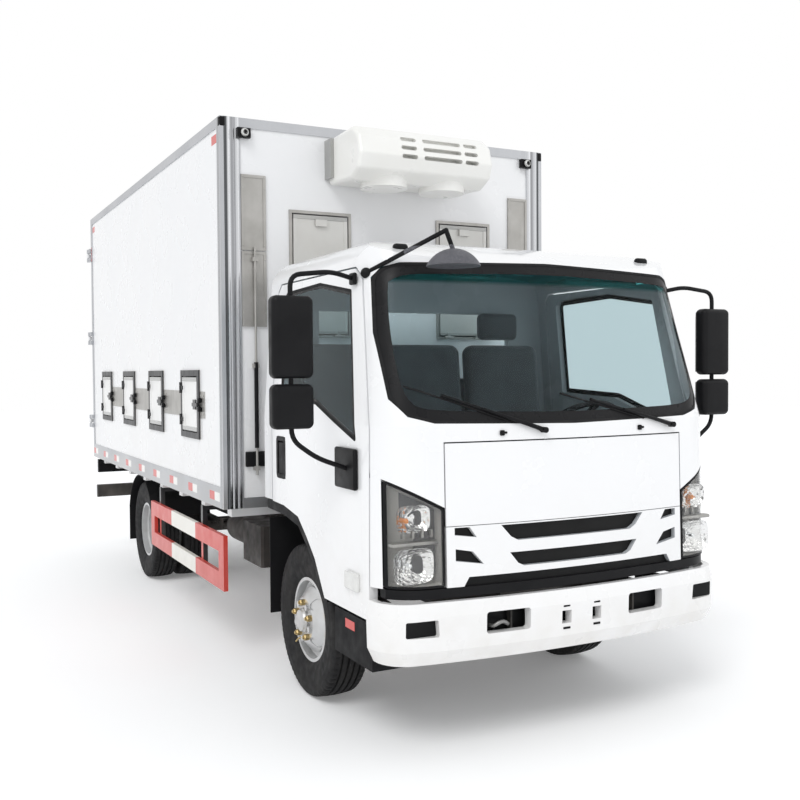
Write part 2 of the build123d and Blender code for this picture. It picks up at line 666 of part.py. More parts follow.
def box_trims():
    """Aluminium edge profiles, bottom rails and the rear door portal, one closed cage round the panels."""
    with BuildPart() as cage:
        block((-BOX_HALF, BOX_HALF), (BOX_FRONT, BOX_REAR), (BOX_BOTTOM, BOX_TOP))
        block((-WALL_OUT, WALL_OUT), (BODY_FRONT, BODY_REAR), (BODY_BOTTOM, BODY_TOP), Mode.SUBTRACT)
        opening = WALL_OUT - PORTAL_W
        block((-opening, opening), (BODY_REAR - 1, BOX_REAR + 1),
              (BODY_BOTTOM + FLOOR_T, BODY_TOP - PORTAL_W), Mode.SUBTRACT)
        block((-BOX_HALF - 1, BOX_HALF + 1), (BOX_FRONT + POST_SIDE, BOX_REAR - POST_SIDE),
              (BOX_BOTTOM + SIDE_RAIL, BOX_TOP - TOP_RAIL), Mode.SUBTRACT)
        block((-BOX_HALF + POST_FRONT, BOX_HALF - POST_FRONT), (BOX_FRONT - 1, BODY_FRONT + 1),
              (BOX_BOTTOM + SIDE_RAIL / 2, BOX_TOP - TOP_RAIL), Mode.SUBTRACT)
        block((-BOX_HALF + POST_SIDE, BOX_HALF - POST_SIDE), (BOX_FRONT + POST_SIDE, BOX_REAR - POST_SIDE),
              (BODY_TOP - 1, BOX_TOP + 1), Mode.SUBTRACT)
        block((-WALL_IN, WALL_IN), (BOX_FRONT + POST_SIDE, BODY_REAR),
              (BOX_BOTTOM - 1, BODY_BOTTOM), Mode.SUBTRACT)
        for side in (-1, 1):
            for z in LEAF_HINGES:
                for end in (-1, 1):
                    middle = z + end * HINGE_H
                    rod((side * LEAF_PIN_X, LEAF_PIN_Y, middle), LEAF_PIN_R + 5, HINGE_H - 4, "z")
                    near, far = sorted((side * (BOX_HALF - 4), side * (LEAF_PIN_X + 5)))
                    block((near, far), (BOX_REAR - 40, LEAF_PIN_Y), (middle - 18, middle + 18))
                rod((side * LEAF_PIN_X, LEAF_PIN_Y, z), LEAF_PIN_R, 3 * HINGE_H - 4, "z")
    save(cage, "box_trims")


def rear_leaf(side, name):
    """One rear door with its hinge straps, knuckles and two locking rods with handles."""
    near_x, far_x = LEAF_GAP, BOX_HALF - 10
    y0, y1 = BOX_REAR + SEAM, BOX_REAR + SEAM + LEAF_T
    z0, z1 = BOX_BOTTOM + 30, BOX_TOP - 14
    with BuildPart() as leaf:
        block(sorted((side * near_x, side * far_x)), (y0, y1), (z0, z1))
        inner = WALL_OUT - PORTAL_W - 12
        block(sorted((side * (near_x + 30), side * inner)), (y0 - 30, y0),
              (BODY_BOTTOM + FLOOR_T + 12, BODY_TOP - PORTAL_W - 12))
        for z in LEAF_HINGES:
            block(sorted((side * (far_x - 160), side * LEAF_PIN_X)), (y1, y1 + 5), (z - 16, z + 16))
            rod((side * LEAF_PIN_X, LEAF_PIN_Y, z), LEAF_PIN_R + 5, HINGE_H - 8, "z")
        for z in LEAF_HINGES:
            rod((side * LEAF_PIN_X, LEAF_PIN_Y, z), LEAF_PIN_R + RUN, HINGE_H + 20, "z", Mode.SUBTRACT)
        for x in (0.35 * far_x, 0.72 * far_x):
            rod((side * x, y1 + LOCK_ROD_R + 4, (z0 + z1) / 2), LOCK_ROD_R, z1 - z0 - 60, "z")
            for z in (z0 + 120, (z0 + z1) / 2 - 200, (z0 + z1) / 2 + 300, z1 - 120):
                block((side * x - 30, side * x + 30), (y1, y1 + 2 * LOCK_ROD_R + 6), (z - 18, z + 18))
            block(sorted((side * x, side * (x + 220))), (y1 + LOCK_ROD_R, y1 + LOCK_ROD_R + 10), (1290, 1314))
            block(sorted((side * (x + 190), side * (x + 215))), (y1, y1 + LOCK_ROD_R + 4), (1284, 1320))
    save(leaf, name)


HATCH_FACE = WALL_OUT + BAND_PROUD
HATCH_PIN_X = HATCH_FACE + 9.0


def hatch_frame(latch_reach):
    """Frame, latch plate and hinge pins of one hatch on the left wall, its middle at Y = 0."""
    outer = HATCH / 2 + HATCH_BAND
    hole = HATCH_HOLE / 2
    pin_y = hole + 4
    with BuildPart() as unit:
        block((WALL_OUT, HATCH_FACE), (-outer, outer), (HATCH_Z - outer, HATCH_Z + outer))
        block((WALL_OUT - 1, HATCH_FACE + 1), (-hole, hole), (HATCH_Z - hole, HATCH_Z + hole), Mode.SUBTRACT)
        block((WALL_OUT, WALL_OUT + LATCH_T), (-outer - latch_reach, -outer),
              (HATCH_Z - LATCH_H / 2, HATCH_Z + LATCH_H / 2))
        heights = [HATCH_Z + row * 100 + end * 24 for row in (-1, 1) for end in (-1, 1)]
        with Locations(*[((HATCH_FACE + HATCH_PIN_X) / 2, pin_y + 4, z) for z in heights]):
            Box(HATCH_PIN_X - HATCH_FACE, 16, 20)
        with Locations(*[(HATCH_PIN_X, pin_y, z) for z in heights]):
            Cylinder(HATCH_PIN_R + 3, 20)
        with Locations(*[(HATCH_PIN_X, pin_y, HATCH_Z + row * 100) for row in (-1, 1)]):
            Cylinder(HATCH_PIN_R, 68)
    return unit.part


def front_vent_fittings():
    """Left slim vent covers with their rod, and the frame and hinge pins of the left front hatch."""
    with BuildPart() as unit:
        half = SLOT_VENT_W / 2
        joint = (SLOT_VENT_Z0 + SLOT_VENT_Z1) / 2
        for low, high in ((SLOT_VENT_Z0, joint - 3), (joint + 3, SLOT_VENT_Z1)):
            block((SLOT_VENT_X - half, SLOT_VENT_X + half), (BODY_FRONT - 12, BODY_FRONT), (low, high))
            block((SLOT_VENT_X - half + 16, SLOT_VENT_X + half - 16), (BODY_FRONT - 13, BODY_FRONT - 8),
                  (low + 16, high - 16), Mode.SUBTRACT)
        rod((SLOT_VENT_X, BODY_FRONT - 26, 1725), 7, 1290, "z")
        with Locations(*[(SLOT_VENT_X, BODY_FRONT - 17, z) for z in (1120, 1700, 2300)]):
            Box(32, 34, 24)
        edge = VENT_W / 2
        inner = edge - 25 + SEAM
        block((VENT_X - edge, VENT_X + edge), (BODY_FRONT - 10, BODY_FRONT), (VENT_Z0, VENT_Z1))
        block((VENT_X - inner, VENT_X + inner), (BODY_FRONT - 11, BODY_FRONT + 1),
              (VENT_Z0 + 25 - SEAM, VENT_Z1 - 25 + SEAM), Mode.SUBTRACT)
        knuckles = [VENT_X + end * 110 + shift for end in (-1, 1) for shift in (-22, 22)]
        with Locations(*[(x, BODY_FRONT - 14, VENT_Z0 + 9) for x in knuckles]):
            Box(18, 8, 10)
        with Locations(*[(x, BODY_FRONT - 18, VENT_Z0 + 12) for x in knuckles]):
            Cylinder(8, 18, rotation=TURN["x"])
        with Locations(*[(VENT_X + end * 110, BODY_FRONT - 18, VENT_Z0 + 12) for end in (-1, 1)]):
            Cylinder(5, 62, rotation=TURN["x"])
    return unit.part


def hatch_fittings():
    """Black hatch frames, stainless latch plates and the slim vent covers of the front wall."""
    gap = HATCH_PITCH - HATCH - 2 * HATCH_BAND
    first, later = hatch_frame(100.0), hatch_frame(gap)
    with BuildPart() as fittings:
        add([(later if n else first).moved(Location((0, y, 0))) for n, y in enumerate(HATCH_CENTRES)]
            + [front_vent_fittings()])
        mirror(about=Plane.YZ)
    save(fittings, "hatch_fittings")


def side_hatch(side, y, name):
    """Hinged vent panel with a shallow panel recess, hinge leaves and a latch lever."""
    half = HATCH / 2
    face = HATCH_FACE + 1
    pin_y = y + HATCH_HOLE / 2 + 4
    with BuildPart() as hatch:
        block(sorted((side * (face - HATCH_T), side * face)), (y - half, y + half), (HATCH_Z - half, HATCH_Z + half))
        block(sorted((side * (face - 4), side * (face + 1))), (y - half + 28, y + half - 28),
              (HATCH_Z - half + 28, HATCH_Z + half - 28), Mode.SUBTRACT)
        for z in (HATCH_Z - 100, HATCH_Z + 100):
            rod((side * HATCH_PIN_X, pin_y, z), HATCH_PIN_R + 3, 26, "z")
            block(sorted((side * face, side * HATCH_PIN_X)), (y + half - 26, pin_y), (z - 12, z + 12))
        for z in (HATCH_Z - 100, HATCH_Z + 100):
            rod((side * HATCH_PIN_X, pin_y, z), HATCH_PIN_R + RUN, 60, "z", Mode.SUBTRACT)
        block(sorted((side * face, side * (face + 7))), (y - half, y - half + 60), (HATCH_Z - 30, HATCH_Z + 30))
        block(sorted((side * (face + 7), side * (face + 17))), (y - half - 60, y - half + 46),
              (HATCH_Z - 11, HATCH_Z + 11))
    save(hatch, name)


def front_hatch(side, name):
    """Tilting vent panel of the front wall, hinged along its lower edge."""
    x = side * VENT_X
    half = VENT_W / 2 - 25
    low, high = VENT_Z0 + 25, VENT_Z1 - 25
    face = BODY_FRONT - 11
    with BuildPart() as hatch:
        block((x - half, x + half), (face, face + VENT_T), (low, high))
        block((x - half + 22, x + half - 22), (face - 1, face + 3), (low + 22, high - 22), Mode.SUBTRACT)
        for end in (-1, 1):
            rod((x + end * 110, BODY_FRONT - 18, VENT_Z0 + 12), 8, 24)
            block((x + end * 110 - 11, x + end * 110 + 11), (BODY_FRONT - 18, face), (VENT_Z0 + 12, low + 18))
        for end in (-1, 1):
            rod((x + end * 110, BODY_FRONT - 18, VENT_Z0 + 12), 5 + RUN, 60, mode=Mode.SUBTRACT)
        block((x - 35, x + 35), (face - 14, face), (high - 62, high - 22))
    save(hatch, name)


def refrigeration_unit():
    """Rounded cooling unit: three rows of air slots, fan bulges below and a bracket at each end."""
    back = BODY_FRONT
    nose = back - UNIT_DEPTH
    with BuildPart() as unit:
        with BuildSketch(side_plane(-UNIT_HALF)):
            with BuildLine():
                Polyline((back, UNIT_Z0 + 40), (nose + 130, UNIT_Z0 + 20), (nose + 30, UNIT_Z0 + 70),
                         (nose, UNIT_Z0 + 150), (nose + 30, UNIT_Z1 - 60), (nose + 110, UNIT_Z1), (back, UNIT_Z1 - 8),
                         close=True)
            make_face()
        extrude(amount=2 * UNIT_HALF)
        fillet(unit.edges().filter_by(Axis.X), 28)
        ends = unit.faces().filter_by(Axis.X)
        fillet(ends.edges(), 24)
        for row in range(3):
            z = UNIT_Z0 + 150 + row * 50
            for x, width in ((-120, 100), (95, 250), (285, 90)):
                with BuildSketch(front_plane(nose - 20)):
                    with Locations((-x, z)):
                        SlotOverall(width, 24)
                extrude(amount=90, mode=Mode.SUBTRACT)
        for x in (-190, 190):
            rod((x, nose + 200, UNIT_Z0 + 25), 135, 60, "z")
        for side in (-1, 1):
            near, far = sorted((side * UNIT_HALF, side * (UNIT_HALF + 22)))
            block((near, far), (back - 90, back), (UNIT_Z0 + 70, UNIT_Z1 - 20))
    save(unit, "refrigeration_unit")


# Under-body guards

GUARD_X = BOX_HALF - 30.0
GUARD_Y = (AXLE_F + 760.0, AXLE_F + 2560.0)
GUARD_Z = (405.0, 725.0)
GUARD_BAR = 100.0


def side_guards():
    """Two rails and two posts on each side, hung from the floor bearers."""
    with BuildPart() as guards:
        for side in (-1, 1):
            near, far = sorted((side * (GUARD_X - 26), side * GUARD_X))
            for z in (GUARD_Z[0], GUARD_Z[1] - GUARD_BAR):
                block((near, far), GUARD_Y, (z, z + GUARD_BAR))
            for y in GUARD_Y:
                y0 = min(y, GUARD_Y[1] - GUARD_BAR)
                block((near, far), (y0, y0 + GUARD_BAR), GUARD_Z)
            for y in (bearer_y(1) + BEARER_W / 2, bearer_y(3) + BEARER_W / 2):
                inner, outer = sorted((side * (GUARD_X - 56), side * (GUARD_X - 26)))
                block((inner, outer), (y - 20, y + 20), (GUARD_Z[0] + 10, BODY_BOTTOM - BEARER_H))
                inner, outer = sorted((side * (WALL_IN - 250), side * (GUARD_X - 26)))
                block((inner, outer), (y - 20, y + 20), (BODY_BOTTOM - BEARER_H - 30, BODY_BOTTOM - BEARER_H))
    save(guards, "side_guards")


REAR_BAR_Z = (505.0, 620.0)


def rear_bumper():
    """Under-run bar on two stays, with a bored tow eye in the middle."""
    y1 = LENGTH / 2
    with BuildPart() as bar:
        block((-1050, 1050), (y1 - 60, y1), REAR_BAR_Z)
        fillet(bar.edges().filter_by(Axis.X), 12)
        for side in (-1, 1):
            x = side * (RAIL_X - 60)
            block((x - 5, x + 5), (RAIL_REAR + 8, y1 - 50), (REAR_BAR_Z[0] + 15, RAIL_TOP - 30))
        block((-30, 30), (RAIL_REAR + 8, y1 - 50), (540, 600))
    save(bar, "rear_bumper")


STEP_Y = (AXLE_F - 900.0, AXLE_F - 500.0)
GUARD_CLEAR = 52.0
FLAP_Y = AXLE_F + 455.0


def mudguards_and_steps():
    """Entry steps, mudguards behind the front wheels, and curved guards with flaps over the twin tyres."""
    inner_r = TYRE_R + GUARD_CLEAR
    with BuildPart() as guards:
        with BuildSketch(side_plane(500)):
            with BuildLine():
                outer = CenterArc((AXLE_R, TYRE_R), inner_r + 6, 20, 140)
                inner = CenterArc((AXLE_R, TYRE_R), inner_r, 20, 140)
                Line(outer @ 0, inner @ 0)
                Line(outer @ 1, inner @ 1)
            make_face()
        extrude(amount=460)
        edge = AXLE_R + (inner_r + 3) * cos(radians(20))
        block((500, 960), (edge - 3, edge + 5), (250, TYRE_R + (inner_r + 3) * sin(radians(20))))
        block((545, 575), (AXLE_R - 15, AXLE_R + 15), (TYRE_R + inner_r, BODY_BOTTOM - SEAT_GAP))
        block((700, 905), STEP_Y, (370, 400))
        block((885, 905), STEP_Y, (370, 575))
        block((700, 905), (STEP_Y[0], STEP_Y[0] + 12), (370, 575))
        block((700, 720), (AXLE_F - 860, AXLE_F - 540), (390, 570))
        block((RAIL_X, 720), (AXLE_F - 800, AXLE_F - 760), (545, 570))
        block((600, 880), (FLAP_Y, FLAP_Y + 8), (330, 860))
        block((RAIL_X, 620), (FLAP_Y, FLAP_Y + 30), (600, 640))
        mirror(about=Plane.YZ)
    save(guards, "mudguards_and_steps")


FOG_OUTLINE = ((700, 550), (845, 553), (845, 621), (706, 623))
FOG_GAP = 0.3
FOG_Y = (AXLE_F - 1098.0, AXLE_F - 1035.0)


def body_lamps():
    """Front fog lamps, roof-corner clearance lamps and the rear lamp clusters."""
    with BuildPart() as lamps:
        for side in (-1, 1):
            x = side * 949
            block((x - 38, x + 38), (BOX_FRONT - 26, BOX_FRONT), (2975, 3030))
            with Locations((x, BOX_FRONT - 30, 3002)):
                Sphere(24)
            near, far = sorted((side * (WALL_OUT - 330), side * (WALL_OUT - 30)))
            block((near, far), (BOX_REAR - 30, BOX_REAR + 25), (BOX_BOTTOM - 150, BOX_BOTTOM - 30))
            block((side * 880 - 15, side * 880 + 15), (BOX_REAR - 50, BOX_REAR - 30), (BOX_BOTTOM - 140, BOX_BOTTOM))
            rounded(front_plane(FOG_Y[0]), [(-side * (x + (FOG_GAP if x < 800 else -FOG_GAP)),
                                             z + (FOG_GAP if z < 600 else -FOG_GAP)) for x, z in FOG_OUTLINE],
                    8, FOG_Y[1] - FOG_Y[0])
    save(lamps, "body_lamps")


# Cab form

def cab_section(half, nose, inset):
    """Plan of the cab at one height: square back, round front corners, bowed nose."""
    w, back = half - inset, CAB_REAR - inset
    r, bow = CAB_CORNER_R - inset, BOW_R - inset
    front = nose + inset
    edge = (w - r) / (1 - r / bow)
    lean = asin(edge / bow)
    front_edge = front + bow - sqrt(bow * bow - edge * edge)
    side_edge = front_edge + r * cos(lean)
    turn = (1.5708 - lean) / 2
    mid = (w - r + r * cos(turn), side_edge - r * sin(turn))
    with BuildLine() as plan:
        Line((-w, side_edge), (-w, back))
        Line((-w, back), (w, back))
        Line((w, back), (w, side_edge))
        ThreePointArc((w, side_edge), mid, (edge, front_edge))
        ThreePointArc((edge, front_edge), (0, front), (-edge, front_edge))
        ThreePointArc((-edge, front_edge), (-mid[0], mid[1]), (-w, side_edge))
    make_face(plan.edges())


CAB_SECTIONS = (
    # height, half width, nose
    (CAB_BASE, CAB_HALF, NOSE_LOW),
    (BELT_Z, CAB_HALF, NOSE_BELT),
    (LOFT_TOP, HALF_TOP, NOSE_TOP),
)
HEADER_Y = AXLE_F - 940.0
HEADER_Z = CAB_ROOF - 155.0
ROOF_FLAT_Y = AXLE_F - 330.0
ROOF_SIDE_Z = CAB_ROOF - 188.0
ROOF_EDGE_X = 740.0


def cab_form(inset):
    """Solid cab, a given distance inside its outer skin."""
    with BuildPart() as form:
        for z, half, nose in CAB_SECTIONS:
            with BuildSketch(Plane.XY.offset(z)):
                cab_section(half, nose, inset)
        loft(ruled=True)
        top = CAB_ROOF - inset
        with BuildSketch(side_plane(0)):
            with BuildLine():
                brow = ThreePointArc((HEADER_Y, HEADER_Z - inset), (AXLE_F - 650, top - 40), (ROOF_FLAT_Y, top))
                Polyline(brow @ 1, (CAB_REAR - 90, top), (CAB_REAR, top - 50), (CAB_REAR + 50, top - 200),
                         (CAB_REAR + 50, CAB_BASE - 10), (HEADER_Y - 400, CAB_BASE - 10),
                         (HEADER_Y - 400, HEADER_Z - 220), brow @ 0)
            make_face()
        extrude(amount=CAB_HALF + 50, both=True, mode=Mode.INTERSECT)
        lean = (CAB_HALF - HALF_TOP) / (LOFT_TOP - BELT_Z)
        side_x = CAB_HALF - (ROOF_SIDE_Z - BELT_Z) * lean - inset
        edge_z = CAB_ROOF - 33 - inset
        edge_x = ROOF_EDGE_X - inset / 2
        mid = (side_x - 0.293 * (side_x - edge_x), ROOF_SIDE_Z + 0.707 * (edge_z - ROOF_SIDE_Z))
        with BuildSketch(front_plane(0)):
            with BuildLine():
                crown = ThreePointArc((-edge_x, edge_z), (0, CAB_ROOF - inset), (edge_x, edge_z))
                ThreePointArc((edge_x, edge_z), mid, (side_x, ROOF_SIDE_Z))
                ThreePointArc((-edge_x, edge_z), (-mid[0], mid[1]), (-side_x, ROOF_SIDE_Z))
                Polyline((side_x, ROOF_SIDE_Z), (CAB_HALF + 80, ROOF_SIDE_Z - 200), (CAB_HALF + 80, CAB_BASE - 10),
                         (-CAB_HALF - 80, CAB_BASE - 10), (-CAB_HALF - 80, ROOF_SIDE_Z - 200),
                         (-side_x, ROOF_SIDE_Z))
            make_face()
        extrude(amount=LENGTH, both=True, mode=Mode.INTERSECT)
    return form.part


SKIN = cab_form(0)
LINING = cab_form(CAB_WALL)
PANEL_BACK = cab_form(PANEL_T)
GLASS_OUT = cab_form(GLASS_INSET)
GLASS_IN = cab_form(GLASS_INSET + GLASS_T)
TRIM_LIMIT = cab_form(CAB_WALL + 30)
SKIN_CLEAR = cab_form(-SEAT_GAP)

# Door outline from the side: bottom, wheel arch, back edge, top and the slanted front pillar
ARCH_POINTS = ((-435, DOOR_BOTTOM), (-402, 647), (-318, 766), (-211, 859), (-100, 941), (98, 974))


def door_points(gap):
    """Outline of a door, a given gap outside its edge."""
    front = DOOR_FRONT - gap
    arch = [(AXLE_F + y + 0.7 * gap, z - 0.7 * gap) for y, z in ARCH_POINTS[1:]]
    return [(front, DOOR_BOTTOM - gap), (AXLE_F - 435, DOOR_BOTTOM - gap), *arch,
            (DOOR_REAR + gap, 980 - gap), (DOOR_REAR + gap, DOOR_TOP + gap - 40), (DOOR_REAR + gap - 40, DOOR_TOP + gap),
            (AXLE_F - 690 - gap, DOOR_TOP + gap), (AXLE_F - 745 - gap, DOOR_TOP + gap - 50), (front, DOOR_BEND)]


WINDOW_POINTS = ((-805, 1352), (-325, 1507), (150, 1530), (165, 2055), (140, 2078), (-300, 2090), (-675, 2030))
SCREEN_POINTS = ((0, 1426), (690, 1441), (800, 1470), (858, 1545), (868, 1830), (846, 2075), (810, 2118),
                 (740, 2138), (0, 2158))
WINDOW_CORNER = 14.0
REAR_WINDOW = (620.0, 1620.0, 2000.0)
PANEL_HALF = 649.0
PANEL_TOP = 1356.0
PANEL_SPLIT = 1003.0
LAMP_POINTS = ((655, 747), (892, 747), (892, 1206), (655, 1082))
LAMP_DEPTH = 300.0
GRILLE_SLOTS = (
    # outlines of the air slots on the left half or across the middle: corners as (x, z)
    ((-392, 997), (392, 997), (345, 945), (310, 927), (-310, 927), (-345, 945)),
    ((-351, 876), (351, 876), (312, 828), (282, 814), (-282, 814), (-312, 828)),
    ((612, 998), (542, 998), (510, 953), (612, 967)),
    ((-612, 998), (-542, 998), (-510, 953), (-612, 967)),
    ((609, 908), (529, 893), (479, 837), (609, 857)),
    ((-609, 908), (-529, 893), (-479, 837), (-609, 857)),
)


def window_points(gap):
    """Door window outline, its corners a given gap nearer to the middle."""
    mid_y = sum(y for y, z in WINDOW_POINTS) / len(WINDOW_POINTS)
    mid_z = sum(z for y, z in WINDOW_POINTS) / len(WINDOW_POINTS)
    moved = []
    for y, z in WINDOW_POINTS:
        far = hypot(y - mid_y, z - mid_z)
        moved.append((AXLE_F + y - gap * (y - mid_y) / far, z - gap * (z - mid_z) / far))
    return moved


def screen_outline(gap):
    """Windscreen outline from the front, a given gap inside its opening."""
    right = [(x - gap if x else 0, z + (gap if z < 1500 else -gap if z > 2080 else 0)) for x, z in SCREEN_POINTS]
    left = [(-x, z) for x, z in reversed(right) if x]
    return [(-x, z) for x, z in right + left]


FIREWALL_Y = AXLE_F - 1030.0
ARM_IN = 862.0
LID_GAP = 6.0
LID_LIP = 4.0
LID_PIN_R = 4.0
LID_EYE_R = 8.0
LID_HINGE_X = 120.0
LID_PIN_Z = PANEL_TOP + 30.0
LID_RELIEF = (560.0, PANEL_TOP + 54.0)


def nose_y(z):
    """Y of the front skin on the middle line, below or above the belt."""
    if z > BELT_Z:
        return NOSE_BELT + (NOSE_TOP - NOSE_BELT) * (z - BELT_Z) / (LOFT_TOP - BELT_Z)
    return NOSE_BELT + (NOSE_LOW - NOSE_BELT) * (BELT_Z - z) / (BELT_Z - CAB_BASE)


LID_PIN_Y = nose_y(LID_PIN_Z) + 14.0


def door_hinge_arms(side):
    """Pins and arms that reach from the front corner to each door."""
    for z in DOOR_HINGES:
        block(sorted((side * ARM_IN, side * DOOR_PIN_X)), (DOOR_PIN_Y - DOOR_PIN_R, DOOR_PIN_Y + DOOR_PIN_R),
              (z - 4, z + 4))
        block(sorted((side * ARM_IN, side * (ARM_IN + 10))), (DOOR_FRONT - 21, DOOR_PIN_Y + DOOR_PIN_R), (z - 4, z + 4))
        block(sorted((side * ARM_IN, side * (ARM_IN + 23))), (DOOR_FRONT - 36, DOOR_FRONT - 12), (z - 4, z + 4))
        rod((side * DOOR_PIN_X, DOOR_PIN_Y, z), DOOR_PIN_R, 70, "z")


def lid_hinge_brackets():
    """Two cheeks and a pin for each of the lid's goosenecks, hung from the ledge under the windscreen."""
    for side in (-1, 1):
        for cheek in (-1, 1):
            x = side * LID_HINGE_X + cheek * 16
            block((x - 5, x + 5), (LID_PIN_Y - LID_EYE_R, LID_PIN_Y + LID_EYE_R), (LID_PIN_Z - LID_EYE_R, LID_RELIEF[1] + 4))
        rod((side * LID_HINGE_X, LID_PIN_Y, LID_PIN_Z), LID_PIN_R, 42)


def lid_relief():
    """Room behind a thin lip above the lid, where its goosenecks swing."""
    half, high = LID_RELIEF
    with BuildPart() as room:
        add(GLASS_OUT)
        block((-half, half), (NOSE_LOW, AXLE_F - 1000), (PANEL_TOP, high), Mode.INTERSECT)
    return room.part


def cab_shell():
    """Roof, pillars, back wall, cowl and front corners, with every opening cut through."""
    with BuildPart() as shell:
        add(SKIN)
        add(LINING, mode=Mode.SUBTRACT)
        outline(side_plane(0), door_points(SEAM), CAB_HALF + 50, Mode.SUBTRACT, both=True)
        outline(front_plane(NOSE_LOW - 100), screen_outline(0), 600, Mode.SUBTRACT)
        block((-PANEL_HALF - LID_GAP, PANEL_HALF + LID_GAP), (NOSE_LOW - 60, AXLE_F - 700),
              (CAB_BASE - 5, PANEL_TOP + LID_GAP), Mode.SUBTRACT)
        add(lid_relief(), mode=Mode.SUBTRACT)
        for side in (-1, 1):
            points = [(-side * x, z) for x, z in LAMP_POINTS]
            points[0] = (-side * 640, CAB_BASE - 10)
            points[1] = (-side * 895, CAB_BASE - 10)
            points[2] = (-side * 895, 1210)
            points[3] = (-side * 640, 1078)
            outline(front_plane(NOSE_LOW - 100), points, LAMP_DEPTH, Mode.SUBTRACT)
        block((-CAB_HALF - 5, CAB_HALF + 5), (NOSE_LOW - 60, AXLE_F - 900), (CAB_BASE - 5, 747), Mode.SUBTRACT)
        block((-CAB_HALF - 5, CAB_HALF + 5), (AXLE_F - 600, CAB_REAR + 5), (CAB_BASE - 5, 985), Mode.SUBTRACT)
        half, low, high = REAR_WINDOW
        block((-half, half), (CAB_REAR - CAB_WALL - 5, CAB_REAR + 5), (low, high), Mode.SUBTRACT)
        for side in (-1, 1):
            door_hinge_arms(side)
        lid_hinge_brackets()
    save(shell, "cab_shell")


def cab_glass():
    """Curved windscreen and the flat rear window."""
    with BuildPart() as glass:
        add(GLASS_OUT)
        add(GLASS_IN, mode=Mode.SUBTRACT)
        outline(front_plane(NOSE_LOW - 100), screen_outline(SEAT_GAP), 600, Mode.INTERSECT)
        half, low, high = REAR_WINDOW
        gap = SEAT_GAP
        block((-half + gap, half - gap), (CAB_REAR - CAB_WALL / 2 - GLASS_T, CAB_REAR - CAB_WALL / 2),
              (low + gap, high - gap))
    save(glass, "cab_glass")


def door(side, name):
    """Door with its window opening, handle recess and hinge bores."""
    with BuildPart() as piece:
        add(SKIN)
        add(LINING, mode=Mode.SUBTRACT)
        outline(side_plane(0), door_points(0), side * (CAB_HALF + 50), Mode.INTERSECT)
        rounded(side_plane(0), window_points(0), WINDOW_CORNER, side * (CAB_HALF + 50), Mode.SUBTRACT)
        block(sorted((side * (CAB_HALF - 18), side * (CAB_HALF + 5))), (AXLE_F + 70, AXLE_F + 198), (1112, 1328), Mode.SUBTRACT)
        block(sorted((side * (CAB_HALF - 14), side * (CAB_HALF - 6))), (AXLE_F + 85, AXLE_F + 183), (1124, 1200))
        block(sorted((side * (CAB_HALF - 20), side * (CAB_HALF - 6))), (AXLE_F + 100, AXLE_F + 168), (1140, 1190))
        for z in DOOR_HINGES:
            block(sorted((side * 840, side * (DOOR_PIN_X + 8))), (DOOR_FRONT - 10, DOOR_PIN_Y + DOOR_PIN_R + 4),
                  (z - 9, z + 9), Mode.SUBTRACT)
            rod((side * DOOR_PIN_X, DOOR_PIN_Y, z), DOOR_PIN_R + RUN, 72, "z", Mode.SUBTRACT)
    save(piece, name)


def door_glass(side, name):
    with BuildPart() as glass:
        add(GLASS_OUT)
        add(GLASS_IN, mode=Mode.SUBTRACT)
        rounded(side_plane(0), window_points(SEAT_GAP), WINDOW_CORNER, side * (CAB_HALF + 50), Mode.INTERSECT)
    save(glass, name)


def front_lid():
    """Upper nose panel over the grille, on two goosenecks that reach round the lip of the cowl."""
    with BuildPart() as lid:
        add(SKIN)
        add(GLASS_IN, mode=Mode.SUBTRACT)
        block((-PANEL_HALF, PANEL_HALF), (NOSE_LOW - 50, AXLE_F - 900), (PANEL_SPLIT + 3, PANEL_TOP), Mode.INTERSECT)
        for side in (-1, 1):
            x = side * LID_HINGE_X
            y, z = LID_PIN_Y, LID_PIN_Z
            rod((x, y, z), LID_EYE_R, 20)
            outline(side_plane(x - 10), [(y, z + 6), (y + 44, z + 6), (y + 44, z - 60), (y - 8, z - 60), (y - 8, z - 44),
                                         (y + 34, z - 44), (y + 34, z - 5), (y, z - 5)], 20)
        for side in (-1, 1):
            rod((side * LID_HINGE_X, LID_PIN_Y, LID_PIN_Z), LID_PIN_R + RUN, 20, mode=Mode.SUBTRACT)
    save(lid, "front_lid")


def grille():
    """Lower nose panel with its air slots."""
    with BuildPart() as panel:
        add(SKIN)
        add(PANEL_BACK, mode=Mode.SUBTRACT)
        outline(front_plane(NOSE_LOW - 50), [(PANEL_HALF, PANEL_SPLIT), (PANEL_HALF, 747), (572, 747), (548, 786),
                                             (-548, 786), (-572, 747), (-PANEL_HALF, 747),
                                             (-PANEL_HALF, PANEL_SPLIT)], 300, Mode.INTERSECT)
        for points in GRILLE_SLOTS:
            outline(front_plane(NOSE_LOW - 50), [(-x, z) for x, z in points], 300, Mode.SUBTRACT)
    save(panel, "grille")


def grille_backing():
    """Black ribbed backing behind the slots and below the grille."""
    outer = cab_form(PANEL_T + SEAT_GAP)
    with BuildPart() as ribs:
        for x in (-430, -150, 150, 430):
            block((x - 4, x + 4), (NOSE_LOW, FIREWALL_Y - SEAT_GAP), (830, 990))
        add(outer, mode=Mode.INTERSECT)
    with BuildPart() as backing:
        add(outer)
        add(cab_form(PANEL_T + SEAT_GAP + 5), mode=Mode.SUBTRACT)
        block((-PANEL_HALF + 4, PANEL_HALF - 4), (NOSE_LOW - 50, AXLE_F - 900), (735, PANEL_SPLIT + 40), Mode.INTERSECT)
        add(ribs.part)
    save(backing, "grille_backing")


